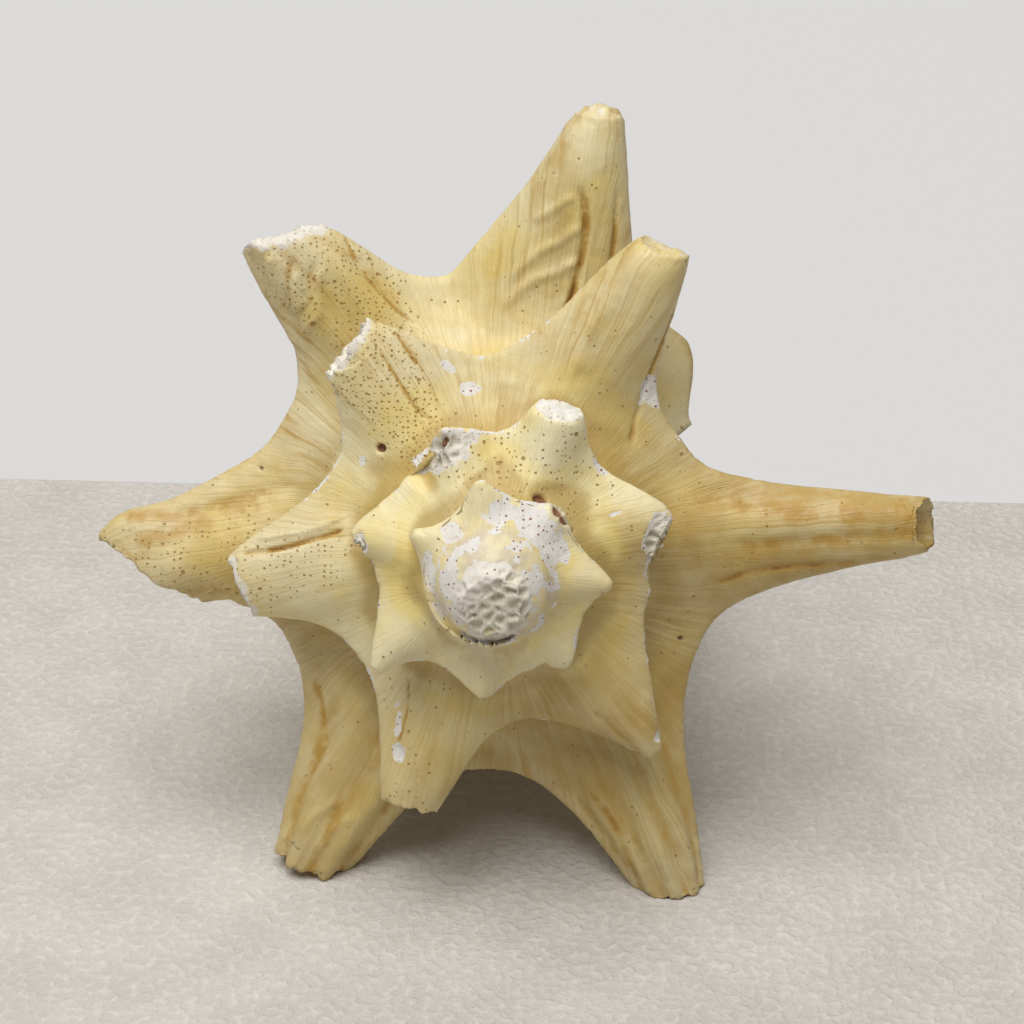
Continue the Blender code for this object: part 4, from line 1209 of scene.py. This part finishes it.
def makeShellMaterial():
    looks = shellLooks
    material = bpy.data.materials.new("conch lime")
    material.use_nodes = True
    tree = material.node_tree
    shader = tree.nodes["Principled BSDF"]
    spot = objectSpot(tree)
    color = looks["butter"]

    def cloud(scale, detail=3.0):
        return softNoise(tree, spot, scale, detail, Roughness=0.55)

    def cover(share, look):
        nonlocal color
        color = blendColor(tree, share, color, looks[look])

    def streaks(kind):
        values = dict(zip(("Fineness", "Length", "Low", "High", "Seed"), streakKinds[kind]))
        return addNode(tree, "ShaderNodeGroup", {"node_tree": streakGroup}, values).outputs["Mask"]

    def dots(spacing, radius, density, seed):
        values = {"Spacing": spacing, "Radius": radius, "Density": density, "Seed": seed}
        return addNode(tree, "ShaderNodeGroup", {"node_tree": poreGroup}, values).outputs["Mask"]

    # The shell's base colour: cream, golden painted shade in its creases, and paler on its ridges.
    cover(remap(tree, cloud(60.0), 0.35, 0.65), "cream")
    crease = total(tree, fieldValue(tree, "crease"), combine(tree, "SUBTRACT", cloud(110.0, 4.0), 0.5))
    # Painted shade: the creases are darkened with gold.
    cover(remap(tree, crease, 0.05, 0.7, 0.0, 0.7), "gold")
    cover(remap(tree, crease, -0.5, -1.2, 0.0, 0.36), "worn")
    tan = fieldValue(tree, "tan")
    cover(product(tree, tan, remap(tree, cloud(90.0), 0.3, 0.7, 0.6, 1.0)), "gold")

    # Growth streaks.
    fine = streaks("fine")
    band = remap(tree, cloud(38.0, 2.0), 0.42, 0.62)
    wideShare = remap(tree, tan, 0.0, 0.3, 0.12, 0.8)
    fineShare = remap(tree, total(tree, tan, cloud(55.0, 2.0)), 0.45, 1.1, 0.04, 0.38)
    paleShare = remap(tree, cloud(65.0, 2.0), 0.35, 0.65, 0.05, 0.38)
    cover(product(tree, streaks("wide"), product(tree, band, wideShare)), "ochre")
    cover(product(tree, fine, fineShare), "ochre")
    cover(product(tree, streaks("hair"), product(tree, band, 0.10)), "ochre")
    cover(product(tree, streaks("pale"), tan, paleShare), "cream")

    # Age, stains with the painted shadow of the third spine's fold, and pores.
    cover(product(tree, fieldValue(tree, "age"), remap(tree, cloud(160.0), 0.35, 0.65, 0.1, 0.9)), "grey")
    # Ochre and brown from dirt, and from the painted shadow on the third spine's fold.
    stainAndShade = product(tree, fieldValue(tree, "stainAndShade"), remap(tree, cloud(230.0, 4.0), 0.36, 0.62, 0.3, 1.05))
    cover(remap(tree, stainAndShade, 0.05, 0.5), "ochre")
    cover(remap(tree, stainAndShade, 0.45, 1.0), "brown")
    pores = fieldValue(tree, "pores")
    dense = dots(0.0013, 0.0002, pores, 0.0)
    sparse = dots(0.0042, 0.0003, product(tree, pores, 0.7), 0.031)
    holes = combine(tree, "MAXIMUM", dense, sparse)
    cover(product(tree, holes, 0.9), "pore")

    # Chalky crust, with greyer pits and small brown specks.
    edge = product(tree, combine(tree, "SUBTRACT", cloud(420.0, 5.0), 0.5), 2.4)
    chalk = remap(tree, total(tree, fieldValue(tree, "chalk"), edge), 0.08, 0.2)
    comb = fieldValue(tree, "comb")
    clean = color
    color = looks["chalk"]
    cover(remap(tree, cloud(900.0, 2.0), 0.3, 0.7, 0.0, 0.25), "grey")
    cover(product(tree, comb, 0.3), "cream")
    cover(product(tree, fieldValue(tree, "hollow"), 0.5), "grey")
    speckDensity = product(tree, chalk, combine(tree, "SUBTRACT", 0.55, comb))
    cover(dots(0.0014, 0.00021, speckDensity, 0.057), "cavity")
    color = blendColor(tree, chalk, clean, color)

    # Worn spine ends and deep holes.
    rim = remap(tree, total(tree, fieldValue(tree, "end"), product(tree, edge, 0.5)), 0.35, 0.6)
    cover(product(tree, rim, 0.75), "chalk")
    cover(remap(tree, fieldValue(tree, "hole"), 0.25, 0.7), "cavity")
    tree.links.new(color, shader.inputs["Base Color"])

    plain = remap(tree, cloud(300.0), 0.3, 0.7, 0.38, 0.6)
    rough = combine(tree, "MAXIMUM", plain, product(tree, chalk, 0.9))
    tree.links.new(rough, shader.inputs["Roughness"])
    height = total(tree, product(tree, holes, -1.0), product(tree, fine, -0.18), cloud(260.0, 4.0))
    bump = addNode(tree, "ShaderNodeBump", {}, {"Height": height, "Distance": 0.0004, "Strength": 0.75})
    tree.links.new(bump.outputs["Normal"], shader.inputs["Normal"])
    return material


# The weathered relief, in metres.
reliefValues = {
    "Pit Cell": knobCrust["pitCell"] * 0.001,
    "Pit Depth": knobCrust["pitDepth"] * 0.001,
    "Fine Cell": knobCrust["fineCell"] * 0.001,
    "Fine Depth": knobCrust["fineDepth"] * 0.001,
    "Uneven": 0.0004,
}


def weatherRelief(material):
    # Geometry nodes that press the honeycomb pits and the fine unevenness into the shell.
    tree = bpy.data.node_groups.new("weatherRelief", "GeometryNodeTree")
    tree.interface.new_socket("Geometry", in_out="INPUT", socket_type="NodeSocketGeometry")
    for name, start in reliefValues.items():
        tree.interface.new_socket(name, in_out="INPUT", socket_type="NodeSocketFloat").default_value = start
    tree.interface.new_socket("Geometry", in_out="OUTPUT", socket_type="NodeSocketGeometry")
    enter, leave = tree.nodes.new("NodeGroupInput"), tree.nodes.new("NodeGroupOutput")
    spot = addNode(tree, "GeometryNodeInputPosition").outputs[0]
    normal = addNode(tree, "GeometryNodeInputNormal").outputs[0]
    comb = addNode(tree, "GeometryNodeInputNamedAttribute", {}, {"Name": "comb"}).outputs["Attribute"]
    wobble = softNoise(tree, spot, 260.0, 2.0, "Color")
    bent = vectorMath(tree, "ADD", {0: spot, 1: vectorMath(tree, "SCALE", {0: wobble, "Scale": 0.0012})})

    def pits(cell, depth, wall):
        scale = combine(tree, "DIVIDE", 1.0, enter.outputs[cell])
        cells = addNode(tree, "ShaderNodeTexVoronoi", {"feature": "DISTANCE_TO_EDGE"}, {
            "Vector": bent, "Scale": scale, "Randomness": 0.9})
        bowl = remap(tree, cells.outputs["Distance"], wall, wall + 0.24)
        return bowl, product(tree, bowl, enter.outputs[depth], -1.0)

    bigBowl, big = pits("Pit Cell", "Pit Depth", 0.05)
    small = pits("Fine Cell", "Fine Depth", 0.08)[1]
    uneven = combine(tree, "SUBTRACT", softNoise(tree, spot, 230.0, 3.0), 0.5)
    uneven = product(tree, uneven, enter.outputs["Uneven"])
    push = total(tree, product(tree, total(tree, big, small), comb), uneven)
    store = addNode(tree, "GeometryNodeStoreNamedAttribute", {"data_type": "FLOAT", "domain": "POINT"}, {
        "Geometry": enter.outputs["Geometry"], "Name": "hollow", "Value": product(tree, bigBowl, comb)})
    moved = addNode(tree, "GeometryNodeSetPosition", {}, {
        "Geometry": store.outputs[0], "Offset": vectorMath(tree, "SCALE", {0: normal, "Scale": push})})
    real = addNode(tree, "GeometryNodeRealizeInstances", {}, {"Geometry": moved.outputs[0]})
    dressed = addNode(tree, "GeometryNodeSetMaterial", {}, {
        "Geometry": real.outputs[0], "Material": material})
    tree.links.new(dressed.outputs[0], leave.inputs["Geometry"])
    return tree


def weatherShell(shell, material):
    # Turns the relief into plain vertices, kept inside the solid part's box.
    tree = weatherRelief(material)
    relief = shell.modifiers.new("weather", "NODES")
    relief.node_group = tree
    for item in tree.interface.items_tree:
        if item.in_out == "INPUT" and item.name in reliefValues:
            relief[item.identifier] = reliefValues[item.name]
    graph = bpy.context.evaluated_depsgraph_get()
    finished = bpy.data.meshes.new_from_object(shell.evaluated_get(graph))
    shell.modifiers.remove(relief)
    shell.data = finished
    places = np.empty(len(finished.vertices) * 3)
    finished.vertices.foreach_get("co", places)
    places = np.clip(places.reshape(-1, 3), np.array(cadLow), np.array(cadHigh))
    finished.vertices.foreach_set("co", places.ravel())
    finished.name = "queenConch"


poreGroup, streakGroup = poreDots(), growthStreaks()
conchLime = makeShellMaterial()
weatherShell(shell, conchLime)
print("shell: weathered")
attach(shell, "root")
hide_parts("shell")

# Floor, backdrop and lights. Each light has its place, size in metres, power and colour.
studio = {
    "floorColor": (0.70, 0.67, 0.63, 1.0),
    "floorDark": 0.80,
    "backColor": (0.69, 0.68, 0.665, 1.0),
    "edgeY": 0.077,
    "aim": (0.0, 0.0, 0.05),
    "worldColor": (1.0, 0.96, 0.9, 1.0),
    "worldStrength": 0.145,
    "lights": {
        "softbox": ((-0.12, -0.3, 1.12), 0.9, 13.6, (1.0, 0.985, 0.96)),
        "back": ((-0.3, 0.9, 0.9), 0.8, 2.2, (1.0, 0.99, 0.97)),
    },
}


def addPlane(name, corners, dress):
    mesh = bpy.data.meshes.new(name)
    mesh.from_pydata(corners, [], [(0, 1, 2, 3)])
    plane = bpy.data.objects.new(name, mesh)
    bpy.context.scene.collection.objects.link(plane)
    material = bpy.data.materials.new(name)
    material.use_nodes = True
    shader = material.node_tree.nodes["Principled BSDF"]
    shader.inputs["Roughness"].default_value = 0.9
    dress(material.node_tree, shader)
    mesh.materials.append(material)


def dressFloor(tree, shader):
    color = studio["floorColor"]
    spot = objectSpot(tree)
    grain = remap(tree, softNoise(tree, spot, 520.0, 5.0), 0.3, 0.7, 0.0, 0.6)
    tone = total(tree, grain, remap(tree, softNoise(tree, spot, 60.0, 3.0), 0.3, 0.7, 0.0, 0.4))
    dark = tuple(studio["floorDark"] * part for part in color[:3]) + (1.0,)
    tree.links.new(blendColor(tree, tone, dark, color), shader.inputs["Base Color"])
    bump = addNode(tree, "ShaderNodeBump", {}, {"Height": tone, "Distance": 0.0012, "Strength": 0.6})
    tree.links.new(bump.outputs["Normal"], shader.inputs["Normal"])


def dressBackdrop(tree, shader):
    # Plain and evenly bright, from its own light.
    shader.inputs["Base Color"].default_value = (0.0, 0.0, 0.0, 1.0)
    shader.inputs["Emission Color"].default_value = studio["backColor"]
    shader.inputs["Emission Strength"].default_value = 1.0


def addLight(name, place, size, power, color):
    light = bpy.data.lights.new(name, "AREA")
    light.shape = "SQUARE"
    light.size = size
    light.energy = power
    light.color = color
    lamp = bpy.data.objects.new(name, light)
    bpy.context.scene.collection.objects.link(lamp)
    lamp.location = place
    lamp.rotation_euler = (Vector(studio["aim"]) - Vector(place)).to_track_quat("-Z", "Y").to_euler()


def addWorld():
    world = bpy.data.worlds.new("studio")
    world.use_nodes = True
    background = world.node_tree.nodes["Background"]
    background.inputs["Color"].default_value = studio["worldColor"]
    background.inputs["Strength"].default_value = studio["worldStrength"]
    bpy.context.scene.world = world


def addCamera():
    camera = bpy.data.objects.new("camera", bpy.data.cameras.new("camera"))
    camera.data.lens = cameraView["lens"]
    camera.data.sensor_width = cameraView["sensor"]
    camera.data.clip_start = 0.01
    direction = viewDirection()
    camera.location = Vector(cameraView["target"]) + direction * cameraView["distance"]
    camera.rotation_euler = direction.to_track_quat("Z", "Y").to_euler()
    bpy.context.scene.collection.objects.link(camera)
    bpy.context.scene.camera = camera


edge = studio["edgeY"]
addPlane("floor", [(-1.5, -1.5, 0), (1.5, -1.5, 0), (1.5, edge, 0), (-1.5, edge, 0)], dressFloor)
addPlane("backdrop", [(-3, edge, 0), (3, edge, 0), (3, 4, 0), (-3, 4, 0)], dressBackdrop)
for name, values in studio["lights"].items():
    addLight(name, *values)
addWorld()
addCamera()
bpy.context.scene.view_settings.view_transform = "Standard"
print("studio: set")
